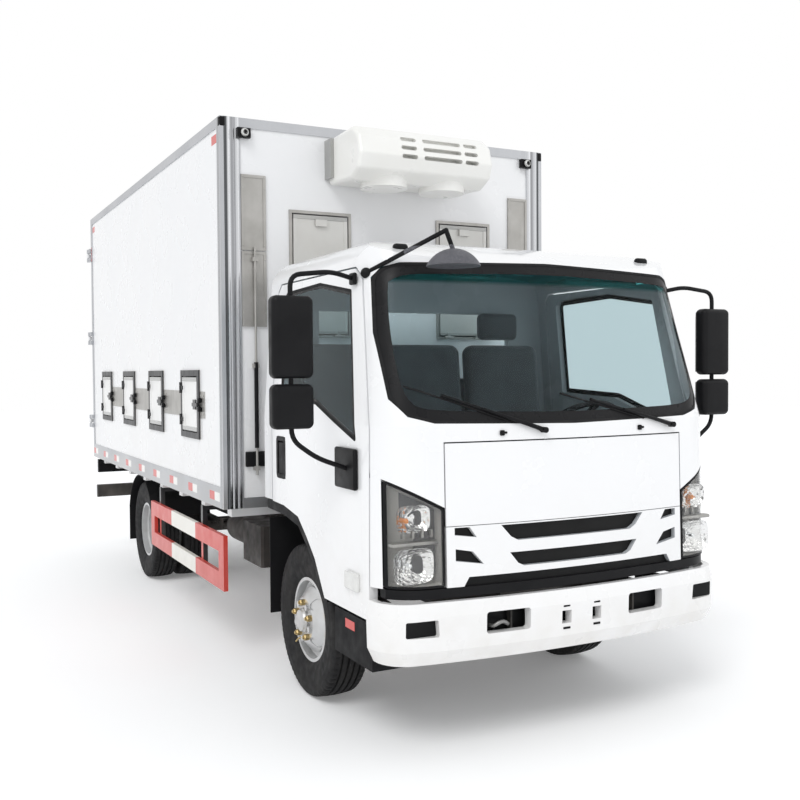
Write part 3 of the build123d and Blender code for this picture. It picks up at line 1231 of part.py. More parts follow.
def cab_lamps():
    """Wrap-round headlamps and the two roof marker lamps."""
    with BuildPart() as headlamps:
        add(SKIN)
        add(LINING, mode=Mode.SUBTRACT)
        with BuildSketch(front_plane(NOSE_LOW - 100)):
            for side in (-1, 1):
                with BuildLine():
                    Polyline(*[(-side * x, z) for x, z in LAMP_POINTS], close=True)
                make_face()
        extrude(amount=LAMP_DEPTH - SEAT_GAP, mode=Mode.INTERSECT)
    with BuildPart() as lamps:
        for side in (-1, 1):
            x = side * 690
            block((x - 36, x + 36), (AXLE_F - 790, AXLE_F - 750), (2150, 2232))
        add(SKIN_CLEAR, mode=Mode.SUBTRACT)
        add(headlamps.part)
    save(lamps, "cab_lamps")


FLOOR_HALF = CAB_HALF - CAB_WALL - SEAM
FOOTWELL_Z = 800.0


def skin_y(x, z):
    """Y of the cab's front skin between its corner rounds."""
    slope = (NOSE_TOP - NOSE_BELT) / (LOFT_TOP - BELT_Z) if z > BELT_Z else \
        (NOSE_BELT - NOSE_LOW) / (BELT_Z - CAB_BASE)
    return NOSE_BELT + slope * (z - BELT_Z) + BOW_R - sqrt(BOW_R * BOW_R - x * x)


def cab_floor():
    """Footwell, firewall and raised seat platform in one folded sheet, with the lugs of the tilt pivot."""
    back = CAB_REAR - CAB_WALL
    y = AXLE_F
    with BuildPart() as floor:
        outline(side_plane(0), [(FIREWALL_Y, 1330), (y - 1008, 1330), (y - 1008, 822), (y - 470, 822), (y - 470, 1050),
                                (y - 400, 1050), (y - 400, 1028), (y - 448, 1028), (y - 448, FOOTWELL_Z),
                                (FIREWALL_Y, FOOTWELL_Z)],
                FLOOR_HALF, both=True)
        add(TRIM_LIMIT, mode=Mode.INTERSECT)
        block((-FLOOR_HALF, FLOOR_HALF), (y - 400, back), (1028, 1050))
        block((-FLOOR_HALF, FLOOR_HALF), (back - 20, back), (CAB_REST_Z, 1028))
        for side in (-1, 1):
            x = side * TILT_X
            block((x - 12, x + 12), (TILT_Y - 20, y - 1008), (TILT_Z + 4, 822))
            rod((x, TILT_Y, TILT_Z), TILT_EYE_R, 24)
        for side in (-1, 1):
            rod((side * TILT_X, TILT_Y, TILT_Z), TILT_PIN_R + RUN, 24, mode=Mode.SUBTRACT)
    save(floor, "cab_floor")


STEER_X = 430.0
STEER_HUB = (STEER_X, AXLE_F - 585.0, 1370.0)
STEER_TILT = 38.0
STEER_RING_R = 208.0
STEER_HUB_H = 46.0
COLUMN_LENGTH = 210.0
SPINDLE_PIN_R = 12.0
STEER_SHAFT = 30.0
STEER_PLANE = Plane(origin=STEER_HUB, x_dir=(1, 0, 0), z_dir=(0, sin(radians(STEER_TILT)), cos(radians(STEER_TILT))))


def dashboard():
    """Dash moulding under the windscreen with a binnacle in front of the driver."""
    y = AXLE_F
    with BuildPart() as dash:
        outline(side_plane(0), [(y - 1008 + SEAT_GAP, 1060), (y - 860, 1050), (y - 740, 1130), (y - 715, 1290),
                                (y - 760, 1370), (y - 900, 1395), (y - 1120, 1400), (y - 1120, 1340),
                                (y - 1008 + SEAT_GAP, 1330 + SEAT_GAP)], FLOOR_HALF, both=True)
        add(TRIM_LIMIT, mode=Mode.INTERSECT)
        outline(side_plane(STEER_X - 190), [(y - 860, 1370), (y - 750, 1360), (y - 730, 1420), (y - 800, 1450),
                                            (y - 880, 1420)], 380)
        with Locations(STEER_PLANE.offset(-STEER_HUB_H / 2 - SEAT_GAP - COLUMN_LENGTH / 2)):
            Cylinder(34, COLUMN_LENGTH)
        with Locations(STEER_PLANE.offset(-STEER_HUB_H / 2 - SEAT_GAP)):
            Cylinder(SPINDLE_PIN_R, 2 * STEER_SHAFT)
    save(dash, "dashboard")


def steering_wheel():
    """Ring, three spokes and a hub bored for the end of the column."""
    with BuildPart() as wheel:
        with Locations(STEER_PLANE):
            Torus(STEER_RING_R, 14)
            Cylinder(52, STEER_HUB_H)
        with BuildSketch(STEER_PLANE):
            with PolarLocations(STEER_RING_R / 2, 3, start_angle=-90):
                Rectangle(STEER_RING_R, 34)
        extrude(amount=9, both=True)
        with Locations(STEER_PLANE.offset(-STEER_HUB_H / 2)):
            Cylinder(SPINDLE_PIN_R + RUN, 2 * STEER_SHAFT + 2, mode=Mode.SUBTRACT)
    save(wheel, "steering_wheel")


def seats():
    """Driver's seat and the double passenger bench, each a cushion, a leaning back and head rests."""
    y = AXLE_F
    base = 1050 + SEAT_GAP
    with BuildPart() as row:
        for x0, x1, heads in ((195, 685, (440,)), (-800, 150, (-600, -120))):
            rounded(side_plane(x0), [(y - 430, base), (y - 440, base + 130), (y - 400, base + 165), (y + 20, base + 150),
                                     (y + 110, base + 760), (y + 150, base + 800), (y + 215, base + 790),
                                     (y + 240, base + 740), (y + 190, base)], 16, x1 - x0)
            for head in heads:
                rounded(front_plane(y + 150), [(-head - 130, base + 770), (-head + 130, base + 770),
                                               (-head + 130, base + 950), (-head - 130, base + 950)], 40, 80)
    save(row, "seats")


ARCH_TAB_X = 700.0


def cab_arches():
    """Black liners under the arch edge of each door."""
    lip = 6.0
    with BuildPart() as arches:
        inner = [(AXLE_F + y, z - SEAM - 0.3) for y, z in ((-430, 585), *ARCH_POINTS[1:], (385, 985))]
        outer = [(y + 0.6 * 58, z - 0.8 * 58) for y, z in inner]
        outer[0] = (AXLE_F - 405, 585)
        outer[-1] = (AXLE_F + 385, inner[-1][1] - 50)
        outline(side_plane(560), inner + outer[::-1], 355)
        cut = [(AXLE_F + 400, 560)] + [(y + 0.6 * lip, z - 0.8 * lip) for y, z in inner]
        cut[1] = (AXLE_F - 424, 560)
        cut[-1] = (AXLE_F + 400, inner[-1][1] - lip)
        outline(side_plane(550), cut, 340, Mode.SUBTRACT)
        tab = (ARCH_TAB_X, ARCH_TAB_X + 60)
        block(tab, (CAB_REAR - CAB_WALL - 20, CAB_REAR - CAB_WALL), (950, CAB_REST_Z - SEAT_GAP))
        block(tab, (AXLE_F - 468, AXLE_F - 410), (640, FOOTWELL_Z - SEAT_GAP))
        mirror(about=Plane.YZ)
    save(arches, "cab_arches")


MIRROR_X = 1205.0
MIRROR_Y = AXLE_F - 745.0
ARM_R = 11.0


def door_mirror(side, name):
    """Two rectangular mirror heads on a bent tube arm between two brackets on the door."""
    foot = (CAB_HALF + 10, AXLE_F - 745, 1235)
    top = (880, AXLE_F - 705, 2072)
    with BuildPart() as mirror_set:
        with BuildLine():
            FilletPolyline(top, (1010, AXLE_F - 735, 2098), (MIRROR_X, MIRROR_Y, 2075), (MIRROR_X, MIRROR_Y, 1372),
                           (1090, MIRROR_Y, 1290), foot, radius=45)
        with BuildSketch(Plane(origin=top, z_dir=(130, -30, 26))):
            Circle(ARM_R)
        sweep()
        with BuildSketch(front_plane(MIRROR_Y - 45)):
            with Locations((-MIRROR_X, 1810)):
                RectangleRounded(188, 352, 26)
            with Locations((-MIRROR_X, 1515)):
                RectangleRounded(188, 192, 24)
        extrude(amount=82)
        block((CAB_HALF, CAB_HALF + 24), (AXLE_F - 830, AXLE_F - 612), (1145, 1328))
        block((870, 905), (AXLE_F - 735, AXLE_F - 680), (2045, 2100))
        add(SKIN_CLEAR, mode=Mode.SUBTRACT)
        if side < 0:
            mirror(about=Plane.YZ, mode=Mode.REPLACE)
    save(mirror_set, name)


CROSSVIEW_BASE = (-856.0, AXLE_F - 762.0, 2095.0)
CROSSVIEW_BEND = (-612.0, AXLE_F - 1044.0, 2260.0)
CROSSVIEW_TIP = (-576.0, AXLE_F - 1044.0, 2174.0)
CROSSVIEW_R = 130.0
WIPERS = (
    # pivot x, pivot z, tip x, tip z
    (-178.0, 1402.0, -650.0, 1560.0),
    (585.0, 1402.0, 100.0, 1530.0),
)


def skin_point(x, z, proud):
    """Point a little in front of the skin between its corner rounds."""
    return Vector(x, nose_y(z) + BOW_R - sqrt(BOW_R * BOW_R - x * x) - proud, z)


def bar(start, end, radius):
    """Round bar between two points."""
    run = end - start
    with BuildSketch(Plane(origin=start, z_dir=run)) as section:
        Circle(radius)
    extrude(section.sketch, amount=run.length)


def cab_fittings():
    """Wiper arms parked along the bottom of the windscreen and the convex mirror on its arm."""
    with BuildPart() as fittings:
        for pivot_x, pivot_z, tip_x, tip_z in WIPERS:
            pivot = skin_point(pivot_x, pivot_z, 20)
            bar(pivot, skin_point(tip_x, tip_z, 12), 7)
            rod((pivot_x, pivot.Y + 8, pivot_z), 13, 40, "y")
        base, bend, tip = Vector(*CROSSVIEW_BASE), Vector(*CROSSVIEW_BEND), Vector(*CROSSVIEW_TIP)
        bar(base, bend, 10)
        bar(bend, tip, 10)
        with Locations(bend):
            Sphere(10)
        with Locations(base):
            Sphere(24)
        with Locations((tip.X, tip.Y, tip.Z + 10)):
            Sphere(CROSSVIEW_R, arc_size1=25, align=(Align.CENTER, Align.CENTER, Align.MAX))
        add(SKIN_CLEAR, mode=Mode.SUBTRACT)
    save(fittings, "cab_fittings")


def front_bumper():
    """Wrap-round bumper shell with tow openings, fog lamp recesses and plate holes."""
    def plan(inset):
        w, r, bow = BUMPER_HALF - inset, BUMPER_CORNER_R - inset, BOW_R - inset
        edge = (w - r) / (1 - r / bow)
        lean = asin(edge / bow)
        front = BUMPER_NOSE + inset
        front_edge = front + bow - sqrt(bow * bow - edge * edge)
        side_edge = front_edge + r * cos(lean)
        turn = (1.5708 - lean) / 2
        mid = (w - r + r * cos(turn), side_edge - r * sin(turn))
        with BuildLine() as path:
            Polyline((-w, side_edge), (-w, BUMPER_END), (w, BUMPER_END), (w, side_edge))
            ThreePointArc((w, side_edge), mid, (edge, front_edge))
            ThreePointArc((edge, front_edge), (0, front), (-edge, front_edge))
            ThreePointArc((-edge, front_edge), (-mid[0], mid[1]), (-w, side_edge))
        make_face(path.edges())

    with BuildPart() as bumper:
        for z, inset in ((BUMPER_Z0, BUMPER_TUCK), (BUMPER_Z0 + 62, 4), (BUMPER_Z1 - 60, 0), (BUMPER_Z1, 16)):
            with BuildSketch(Plane.XY.offset(z)):
                plan(inset)
        loft(ruled=True)
        with BuildSketch(Plane.XY.offset(BUMPER_Z0 + BUMPER_T)) as hollow:
            plan(BUMPER_TUCK + BUMPER_T)
        extrude(hollow.sketch, amount=BUMPER_Z1, mode=Mode.SUBTRACT)
        inner = BUMPER_HALF - BUMPER_TUCK - BUMPER_T
        block((-inner, inner), (BUMPER_END - 60, BUMPER_END + 1), (BUMPER_Z0 - 1, BUMPER_Z1 + 1), Mode.SUBTRACT)
        for side in (-1, 1):
            rounded(front_plane(BUMPER_NOSE - 20), [(side * x, z) for x, z in ((271, 543), (485, 543), (485, 636),
                                                                              (271, 636))], 14, 200, Mode.SUBTRACT)
            rounded(front_plane(BUMPER_NOSE - 20), [(side * x, z) for x, z in FOG_OUTLINE], 8, 210, Mode.SUBTRACT)
            outline(front_plane(BUMPER_NOSE - 20), [(side * x, z) for x, z in ((58, 545), (108, 545), (108, 602),
                                                                              (58, 602))], 100, Mode.SUBTRACT)
    save(bumper, "front_bumper")


SINGLE_PIECES = (chassis_frame, leaf_springs, front_axle_beam, rear_axle, engine_and_driveline, fuel_tank, battery_box,
                 box_floor, box_roof, box_front_wall, box_trims, hatch_fittings, refrigeration_unit, side_guards,
                 rear_bumper, mudguards_and_steps, body_lamps, front_bumper, cab_shell, cab_glass, front_lid, grille,
                 grille_backing, cab_lamps, cab_floor, dashboard, steering_wheel, seats, cab_arches, cab_fittings)
for make in SINGLE_PIECES:
    make()
for side, name in ((1, "left"), (-1, "right")):
    knuckle(side, f"knuckle_{name}")
    front_rim(side, f"front_rim_{name}")
    tyre(side, (FRONT_TRACK / 2,), AXLE_F, f"front_tyre_{name}")
    rear_rims(side, f"rear_rims_{name}")
    tyre(side, (TWIN_MID - TWIN_SPACING / 2, TWIN_MID + TWIN_SPACING / 2), AXLE_R, f"rear_tyres_{name}")
    box_side(side, f"box_{name}_wall")
    rear_leaf(side, f"rear_leaf_{name}")
    front_hatch(side, f"front_hatch_{name}")
    door(side, f"door_{name}")
    door_glass(side, f"door_glass_{name}")
    door_mirror(side, f"door_mirror_{name}")
    for n, y in enumerate(HATCH_CENTRES, 1):
        side_hatch(side, y, f"side_hatch_{name}_{n}")
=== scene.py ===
"""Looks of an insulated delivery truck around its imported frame: tyres, lamps, glass edges, trim and finishes.

Metres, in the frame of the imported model: the truck faces -Y, +X is its left side, +Z is up.
"""

import math

import bmesh
import bpy
import numpy as np
from mathutils import Matrix, Vector


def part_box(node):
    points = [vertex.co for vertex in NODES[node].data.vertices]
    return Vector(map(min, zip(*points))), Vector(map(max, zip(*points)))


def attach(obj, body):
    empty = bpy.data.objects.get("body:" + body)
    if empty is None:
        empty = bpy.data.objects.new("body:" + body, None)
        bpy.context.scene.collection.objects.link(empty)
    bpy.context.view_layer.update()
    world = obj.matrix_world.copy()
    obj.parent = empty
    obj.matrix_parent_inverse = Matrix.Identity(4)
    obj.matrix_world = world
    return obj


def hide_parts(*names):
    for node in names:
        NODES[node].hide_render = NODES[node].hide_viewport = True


bl_info = {
    "name": "Delivery Truck Finish",
    "version": (1, 0, 0),
    "blender": (4, 5, 0),
    "location": "View3D > Sidebar > Truck",
    "description": "Builds the surfaces, trim and materials of an insulated delivery truck round its frame",
    "category": "Object",
}

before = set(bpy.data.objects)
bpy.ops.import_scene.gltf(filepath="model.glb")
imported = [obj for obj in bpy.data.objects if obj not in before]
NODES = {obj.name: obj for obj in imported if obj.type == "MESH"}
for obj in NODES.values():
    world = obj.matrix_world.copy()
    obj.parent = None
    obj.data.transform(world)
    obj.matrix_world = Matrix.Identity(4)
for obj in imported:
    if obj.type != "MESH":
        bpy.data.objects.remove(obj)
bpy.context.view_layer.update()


def node_middle(name):
    """Middle of a node's box."""
    low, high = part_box(name)
    return (low + high) / 2


# Driving sizes, read from the frame where a node carries them
AXLE_F = node_middle("front_tyre_left").y
AXLE_R = node_middle("rear_tyres_left").y
TYRE_R = node_middle("front_tyre_left").z
BOX_LOW, BOX_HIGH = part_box("box_trims")
BOX_FRONT = BOX_LOW.y
BOX_HALF = 1.084
BOX_REAR = BOX_FRONT + 4.092
BOX_BOTTOM = BOX_LOW.z
BOX_TOP = BOX_HIGH.z
SIDE_SKIN = BOX_HALF - 0.006
FRONT_SKIN = BOX_FRONT + 0.006
TWIN_CENTRES = (0.600, 0.830)
FRONT_CENTRE = 0.760
HATCH_Z = 1.470
HATCH_YS = [AXLE_F + 1.325 + 0.9 * n for n in range(4)]
HATCH_FACE = SIDE_SKIN + 0.012
SIDES = ((1, "left"), (-1, "right"))

# Form of the cab's skin, the same values as its solid
CAB_HALF, HALF_TOP = 0.930, 0.860
CAB_BASE, BELT_Z, LOFT_TOP = 0.600, 1.430, 2.400
CORNER_R, BOW_R = 0.230, 4.900
NOSE_LOW, NOSE_BELT, NOSE_TOP = AXLE_F - 1.152, AXLE_F - 1.130, AXLE_F - 0.841

# Outlines as (x, z): the windscreen's right half and a headlamp. A window is (y from the front axle, z)
SCREEN = ((0, 1.426), (.690, 1.441), (.800, 1.470), (.858, 1.545), (.868, 1.830), (.846, 2.075),
          (.810, 2.118), (.740, 2.138), (0, 2.158))
WINDOW = ((-.805, 1.352), (-.325, 1.507), (.150, 1.530), (.165, 2.055), (.140, 2.078), (-.300, 2.090),
          (-.675, 2.030))
LAMP = ((.658, .750), (.889, .750), (.889, 1.2025), (.658, 1.0815))

# Points nearer than this are welded, and edges sharper than this stay sharp
WELD = 1e-6
SHARP_ANGLE = math.radians(38)


# Surfaces worked out as whole arrays

def quads(rows, columns, wrap_rows=False, wrap_columns=False):
    """Faces of a grid of points numbered row by row, closed round either way if asked."""
    row_ids, column_ids = np.arange(rows - (not wrap_rows)), np.arange(columns - (not wrap_columns))
    i, j = np.meshgrid(row_ids, column_ids, indexing="ij")
    below, right = (i + 1) % rows, (j + 1) % columns
    corners = (i * columns + j, below * columns + j, below * columns + right, i * columns + right)
    return np.stack(corners, -1).reshape(-1, 4).tolist()


def row_face(row, columns):
    """One face over a whole row of a grid of points."""
    return list(range(row * columns, (row + 1) * columns))


def new_mesh(name, points, faces, smooth=True):
    """Mesh from an array of points and a list of faces."""
    mesh = bpy.data.meshes.new(name)
    mesh.from_pydata(np.asarray(points, float).reshape(-1, 3).tolist(), [], faces)
    mesh.validate()
    mesh.polygons.foreach_set("use_smooth", np.full(len(mesh.polygons), smooth))
    mesh.update()
    return mesh


def piece(name, parts, body, slot, material, replaces=(), smooth=True):
    """One object from (points, faces) parts on a body, with a trim material and the nodes it stands for."""
    points, faces, start = [], [], 0
    for part_points, part_faces in parts:
        part_points = np.asarray(part_points, float).reshape(-1, 3)
        points.append(part_points)
        faces.extend([[start + n for n in face] for face in part_faces])
        start += len(part_points)
    mesh = new_mesh(name, np.concatenate(points), faces, smooth)
    obj = bpy.data.objects.new(name, mesh)
    bpy.context.scene.collection.objects.link(obj)
    shape = bmesh.new()
    shape.from_mesh(mesh)
    bmesh.ops.remove_doubles(shape, verts=shape.verts, dist=WELD)
    bmesh.ops.recalc_face_normals(shape, faces=shape.faces)
    shape.to_mesh(mesh)
    shape.free()
    if smooth:
        mesh.set_sharp_from_angle(angle=SHARP_ANGLE)
    obj.data.materials.append(trim_material(material))
    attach(obj, body)
    if replaces:
        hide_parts(*replaces)
    return obj


def lathe(profile, centre, axis="x", steps=96):
    """Revolve: each profile row is (distance along the axis, radius); angle runs round the axis."""
    profile = np.asarray(profile, float)
    turn = np.linspace(0, 2 * np.pi, steps, endpoint=False)
    along = np.repeat(profile[:, :1], steps, 1)
    across, up = profile[:, 1:] * np.cos(turn), profile[:, 1:] * np.sin(turn)
    order = {"x": (along, across, up), "y": (across, along, up)}[axis]
    points = np.stack(order, -1) + np.asarray(centre, float)
    return points, quads(len(profile), steps, wrap_columns=True)


def tube(path, radius, steps=12):
    """Circle carried along a path: centre + r (cos t side + sin t over), square to the run, ends closed.

    A steep path takes Y as its helper axis and any other path takes Z.
    """
    path = np.asarray(path, float)
    run = np.gradient(path, axis=0)
    run /= np.linalg.norm(run, axis=1, keepdims=True)
    steep = np.any(np.abs(run[:, 2]) > 0.92)
    side = np.cross(run, (0.0, 1.0, 0.0) if steep else (0.0, 0.0, 1.0))
    side /= np.linalg.norm(side, axis=1, keepdims=True)
    over = np.cross(side, run)
    turn = np.linspace(0, 2 * np.pi, steps, endpoint=False)[None, :, None]
    radii = np.broadcast_to(np.asarray(radius, float), (len(path),))[:, None, None]
    points = path[:, None] + radii * (np.cos(turn) * side[:, None] + np.sin(turn) * over[:, None])
    ends = [row_face(0, steps), row_face(len(path) - 1, steps)[::-1]]
    return points, quads(len(path), steps, wrap_columns=True) + ends


def arc(start, corner, end, count):
    """Quadratic curve (1-t)^2 start + 2t(1-t) corner + t^2 end."""
    return [(1 - t) ** 2 * start + 2 * t * (1 - t) * corner + t * t * end for t in np.linspace(0, 1, count)]


def eased(corners, radius):
    """Path through corners with each inner one cut by a quadratic arc whose reach is the radius."""
    corners = [Vector(c) for c in corners]
    path = [corners[0]]
    for before, here, after in zip(corners, corners[1:], corners[2:]):
        reach = min(radius, (here - before).length / 2, (after - here).length / 2)
        start, end = here + (before - here).normalized() * reach, here + (after - here).normalized() * reach
        path += arc(start, here, end, 6)
    return np.array([list(p) for p in path + [corners[-1]]])


def pillow(low, high, corner, steps=(32, 16)):
    """Rounded box: a sphere's direction times the corner radius, plus its sign times the rest of the half."""
    low, high = np.asarray(low, float), np.asarray(high, float)
    half = (high - low) / 2
    corner = min(corner, half.min())
    u = np.linspace(0, 2 * np.pi, steps[0], endpoint=False) + np.pi / steps[0]
    v = np.linspace(-np.pi / 2, np.pi / 2, steps[1])
    du, dv = np.meshgrid(u, v, indexing="ij")
    ball = np.stack([np.cos(dv) * np.cos(du), np.cos(dv) * np.sin(du), np.sin(dv)], -1).transpose(1, 0, 2)
    points = ball * corner + np.sign(np.round(ball, 6)) * (half - corner)
    rows, columns = points.shape[:2]
    ends = [row_face(0, columns)[::-1], row_face(rows - 1, columns)]
    return points + (low + high) / 2, quads(rows, columns, wrap_columns=True) + ends


def brick(low, high):
    """Plain box between two corners."""
    (a, b, c), (d, e, f) = low, high
    points = [(x, y, z) for x in (a, d) for y in (b, e) for z in (c, f)]
    return points, [(0, 1, 3, 2), (4, 6, 7, 5), (0, 4, 5, 1), (2, 3, 7, 6), (0, 2, 6, 4), (1, 5, 7, 3)]


def sided(side, x, y, z):
    """Low and high corners of a box from its three ranges, the first one counted outwards on one side."""
    near, far = sorted((side * x[0], side * x[1]))
    return (near, y[0], z[0]), (far, y[1], z[1])


def about(middle, half):
    """Low and high corners of a box from its middle and half sizes."""
    return np.array(middle) - half, np.array(middle) + half


def smooth_outline(corners, count, reach):
    """Closed outline whose corners are quadratic arcs of a given reach, with its points spaced evenly."""
    corners = [Vector(c) for c in corners]
    line = []
    for before, here, after in zip(corners[-1:] + corners[:-1], corners, corners[1:] + corners[:1]):
        back, on = before - here, after - here
        start = here + back.normalized() * min(reach, back.length * 0.48)
        end = here + on.normalized() * min(reach, on.length * 0.48)
        line += arc(start, here, end, 9)
    line = np.array([list(p) for p in line])
    closed = np.vstack([line, line[:1]])
    far = np.concatenate([[0], np.cumsum(np.linalg.norm(np.diff(closed, axis=0), axis=1))])
    at = np.linspace(0, far[-1], count, endpoint=False)
    return np.stack([np.interp(at, far, closed[:, k]) for k in range(2)], 1)


def drawn_in(line, gap):
    """Closed outline moved towards its inside by a gap, along the mean of the two edges at each point."""
    ahead, behind = np.roll(line, -1, 0), np.roll(line, 1, 0)
    along = ahead - behind
    along /= np.linalg.norm(along, axis=1, keepdims=True)
    area = np.sum(line[:, 0] * ahead[:, 1] - ahead[:, 0] * line[:, 1])
    inward = np.stack([-along[:, 1], along[:, 0]], 1) * np.sign(area)
    return line + gap * inward


def band(outer, inner, place, depth_out, depth_in, rows=4):
    """Closed strip between two outlines on a curved skin: rows across it, an outer face and a back face."""
    share = np.linspace(0, 1, rows)[:, None, None]
    flat = outer[None] * (1 - share) + inner[None] * share
    points = np.concatenate([place(flat, depth_out), place(flat[::-1], depth_in)])
    return points, quads(2 * rows, outer.shape[0], wrap_rows=True, wrap_columns=True)


def nose(z):
    """Y of the cab's front on its middle line: one slope under the belt and another over it."""
    low = NOSE_BELT + (NOSE_LOW - NOSE_BELT) * (BELT_Z - z) / (BELT_Z - CAB_BASE)
    high = NOSE_BELT + (NOSE_TOP - NOSE_BELT) * (z - BELT_Z) / (LOFT_TOP - BELT_Z)
    return np.where(z > BELT_Z, high, low)


def half_width(z):
    """X of the cab's side: upright under the belt, leaning in over it."""
    lean = (CAB_HALF - HALF_TOP) * (z - BELT_Z) / (LOFT_TOP - BELT_Z)
    return np.where(z > BELT_Z, CAB_HALF - lean, CAB_HALF)


def on_nose(flat, inset):
    """Points (x, z) put on the front skin, some way inside it: a shallow bow, then the corner's round."""
    x, z = flat[..., 0], flat[..., 1]
    w, r, bow = half_width(z) - inset, CORNER_R - inset, BOW_R - inset
    front = nose(z) + inset
    edge = (w - r) / (1 - r / bow)
    side_edge = front + bow - np.sqrt(bow ** 2 - edge ** 2) + r * np.cos(np.arcsin(edge / bow))
    bowed = front + bow - np.sqrt(np.maximum(bow ** 2 - x ** 2, 0))
    turned = side_edge - np.sqrt(np.maximum(r ** 2 - np.clip(np.abs(x) - (w - r), 0, r) ** 2, 0))
    return np.stack([x, np.where(np.abs(x) > edge, turned, bowed), z], -1)


def on_side(side):
    """Placer for points (y, z) on one side's skin."""
    def place(flat, inset):
        return np.stack([side * (half_width(flat[..., 1]) - inset), flat[..., 0], flat[..., 1]], -1)
    return place


def both_sides(points):
    """Outline of a shape given by its right half, from the middle line outwards."""
    return [*points] + [(-x, z) for x, z in reversed(points) if x]


# Finishes

class Finish:
    """A node material whose patterns read the piece's own Object coordinates."""

    def __init__(self, name, colour, rough=0.5, metal=0.0, coat=0.0, glass=0.0, ior=1.45, sheen=0.0, glow=0.0,
                 specular=0.5):
        self.material = bpy.data.materials.new(name)
        self.material.use_nodes = True
        self.tree = self.material.node_tree
        self.shader = self.tree.nodes["Principled BSDF"]
        self.coords = self.tree.nodes.new("ShaderNodeTexCoord")
        for socket, value in (("Base Color", (*colour, 1)), ("Roughness", rough), ("Metallic", metal),
                              ("IOR", ior), ("Coat Weight", coat), ("Transmission Weight", glass),
                              ("Sheen Weight", sheen), ("Specular IOR Level", specular)):
            self.shader.inputs[socket].default_value = value
        if coat:
            self.shader.inputs["Coat Roughness"].default_value = 0.06
        if glow:
            self.shader.inputs["Emission Color"].default_value = (*colour, 1)
            self.shader.inputs["Emission Strength"].default_value = glow
        self.colour = (*colour, 1)
        self.height = None

    def put(self, kind, **inputs):
        """New node with its inputs set or linked by name."""
        node = self.tree.nodes.new(kind)
        for name, value in inputs.items():
            if hasattr(node, name):
                setattr(node, name, value)
                continue
            socket = node.inputs[int(name[1:])] if name[0] == "_" else node.inputs[name]
            if isinstance(value, bpy.types.NodeSocket):
                self.tree.links.new(value, socket)
            else:
                socket.default_value = value
        return node

    def place(self, stretch=(1, 1, 1)):
        """Object coordinates, stretched."""
        return self.put("ShaderNodeMapping", Vector=self.coords.outputs["Object"], Scale=stretch).outputs[0]

    def noise(self, scale, detail=4.0, stretch=(1, 1, 1)):
        """Noise between 0 and 1."""
        place = self.place(stretch)
        return self.put("ShaderNodeTexNoise", Vector=place, Scale=scale, Detail=detail).outputs[0]

    def ramp(self, value, low, high, out_low=0.0, out_high=1.0):
        """Value mapped from one range to another, clamped."""
        return self.put("ShaderNodeMapRange", _0=value, _1=low, _2=high, _3=out_low, _4=out_high).outputs[0]

    def sum(self, kind, first, second=0.0):
        """One arithmetic step."""
        return self.put("ShaderNodeMath", operation=kind, _0=first, _1=second).outputs[0]

    def axis(self, name, source="Object"):
        """One of the piece's own coordinates, or of its normal."""
        split = self.put("ShaderNodeSeparateXYZ", Vector=self.coords.outputs[source])
        return split.outputs["XYZ".index(name)]

    def blend(self, share, over):
        """Another colour laid over what the base is so far."""
        base = self.shader.inputs["Base Color"]
        mix = self.put("ShaderNodeMix", data_type="RGBA")
        if base.is_linked:
            self.tree.links.new(base.links[0].from_socket, mix.inputs[6])
        else:
            mix.inputs[6].default_value = self.colour
        mix.inputs[7].default_value = (*over, 1)
        self.tree.links.new(share, mix.inputs[0])
        self.tree.links.new(mix.outputs[2], base)
        return self

    def vary(self, scale, over, amount=0.5, stretch=(1, 1, 1)):
        """Soft patches of another colour."""
        return self.blend(self.ramp(self.noise(scale, 5.0, stretch), 0.35, 0.75, 0.0, amount), over)

    def dust(self, over, amount, low, high):
        """Road dust that thins out with height, broken up by noise."""
        falling = self.ramp(self.axis("Z"), low, high, 1.0, 0.0)
        patchy = self.ramp(self.noise(9.0, 6.0), 0.3, 0.7, 0.2, 1.0)
        return self.blend(self.sum("MULTIPLY", self.sum("MULTIPLY", falling, patchy), amount), over)

    def roughen(self, scale, low, high, stretch=(1, 1, 1)):
        """Roughness that wanders between two values."""
        self.tree.links.new(self.ramp(self.noise(scale, 5.0, stretch), 0.3, 0.7, low, high),
                            self.shader.inputs["Roughness"])
        return self

    def bump(self, height, strength, distance):
        """Bump from a height, chained after any earlier one."""
        node = self.put("ShaderNodeBump", Strength=strength, Distance=distance, Height=height)
        if self.height:
            self.tree.links.new(self.height, node.inputs["Normal"])
        self.height = node.outputs[0]
        self.tree.links.new(self.height, self.shader.inputs["Normal"])
        return self

    def swap(self, share, socket, low, high):
        """One plain shader value in one place and another elsewhere."""
        self.tree.links.new(self.ramp(share, 0.0, 1.0, low, high), self.shader.inputs[socket])
        return self

    def beyond(self, name, edge, absolute=False, below=False):
        """1 past a plane across one of the piece's axes, else 0."""
        value = self.axis(name)
        if absolute:
            value = self.sum("ABSOLUTE", value)
        return self.sum("LESS_THAN" if below else "GREATER_THAN", value, edge)


WHITE_DUST, ROAD_DUST = (0.62, 0.58, 0.52), (0.30, 0.27, 0.24)
PART_BLACK, EDGE_GREY = (0.02, 0.02, 0.022), (0.42, 0.42, 0.41)


def panel_white():
    """Gel-coated sandwich panel: a faint long ripple and a little dust low down."""
    f = Finish("panel_white", (0.85, 0.85, 0.855), rough=0.3, coat=0.15)
    f.vary(0.7, (0.80, 0.81, 0.83), 0.5).dust(WHITE_DUST, 0.22, 0.85, 1.5)
    f.roughen(3.0, 0.22, 0.36)
    return f.bump(f.noise(0.8, 1.0, (1, 1, 0.4)), 0.05, 0.004)


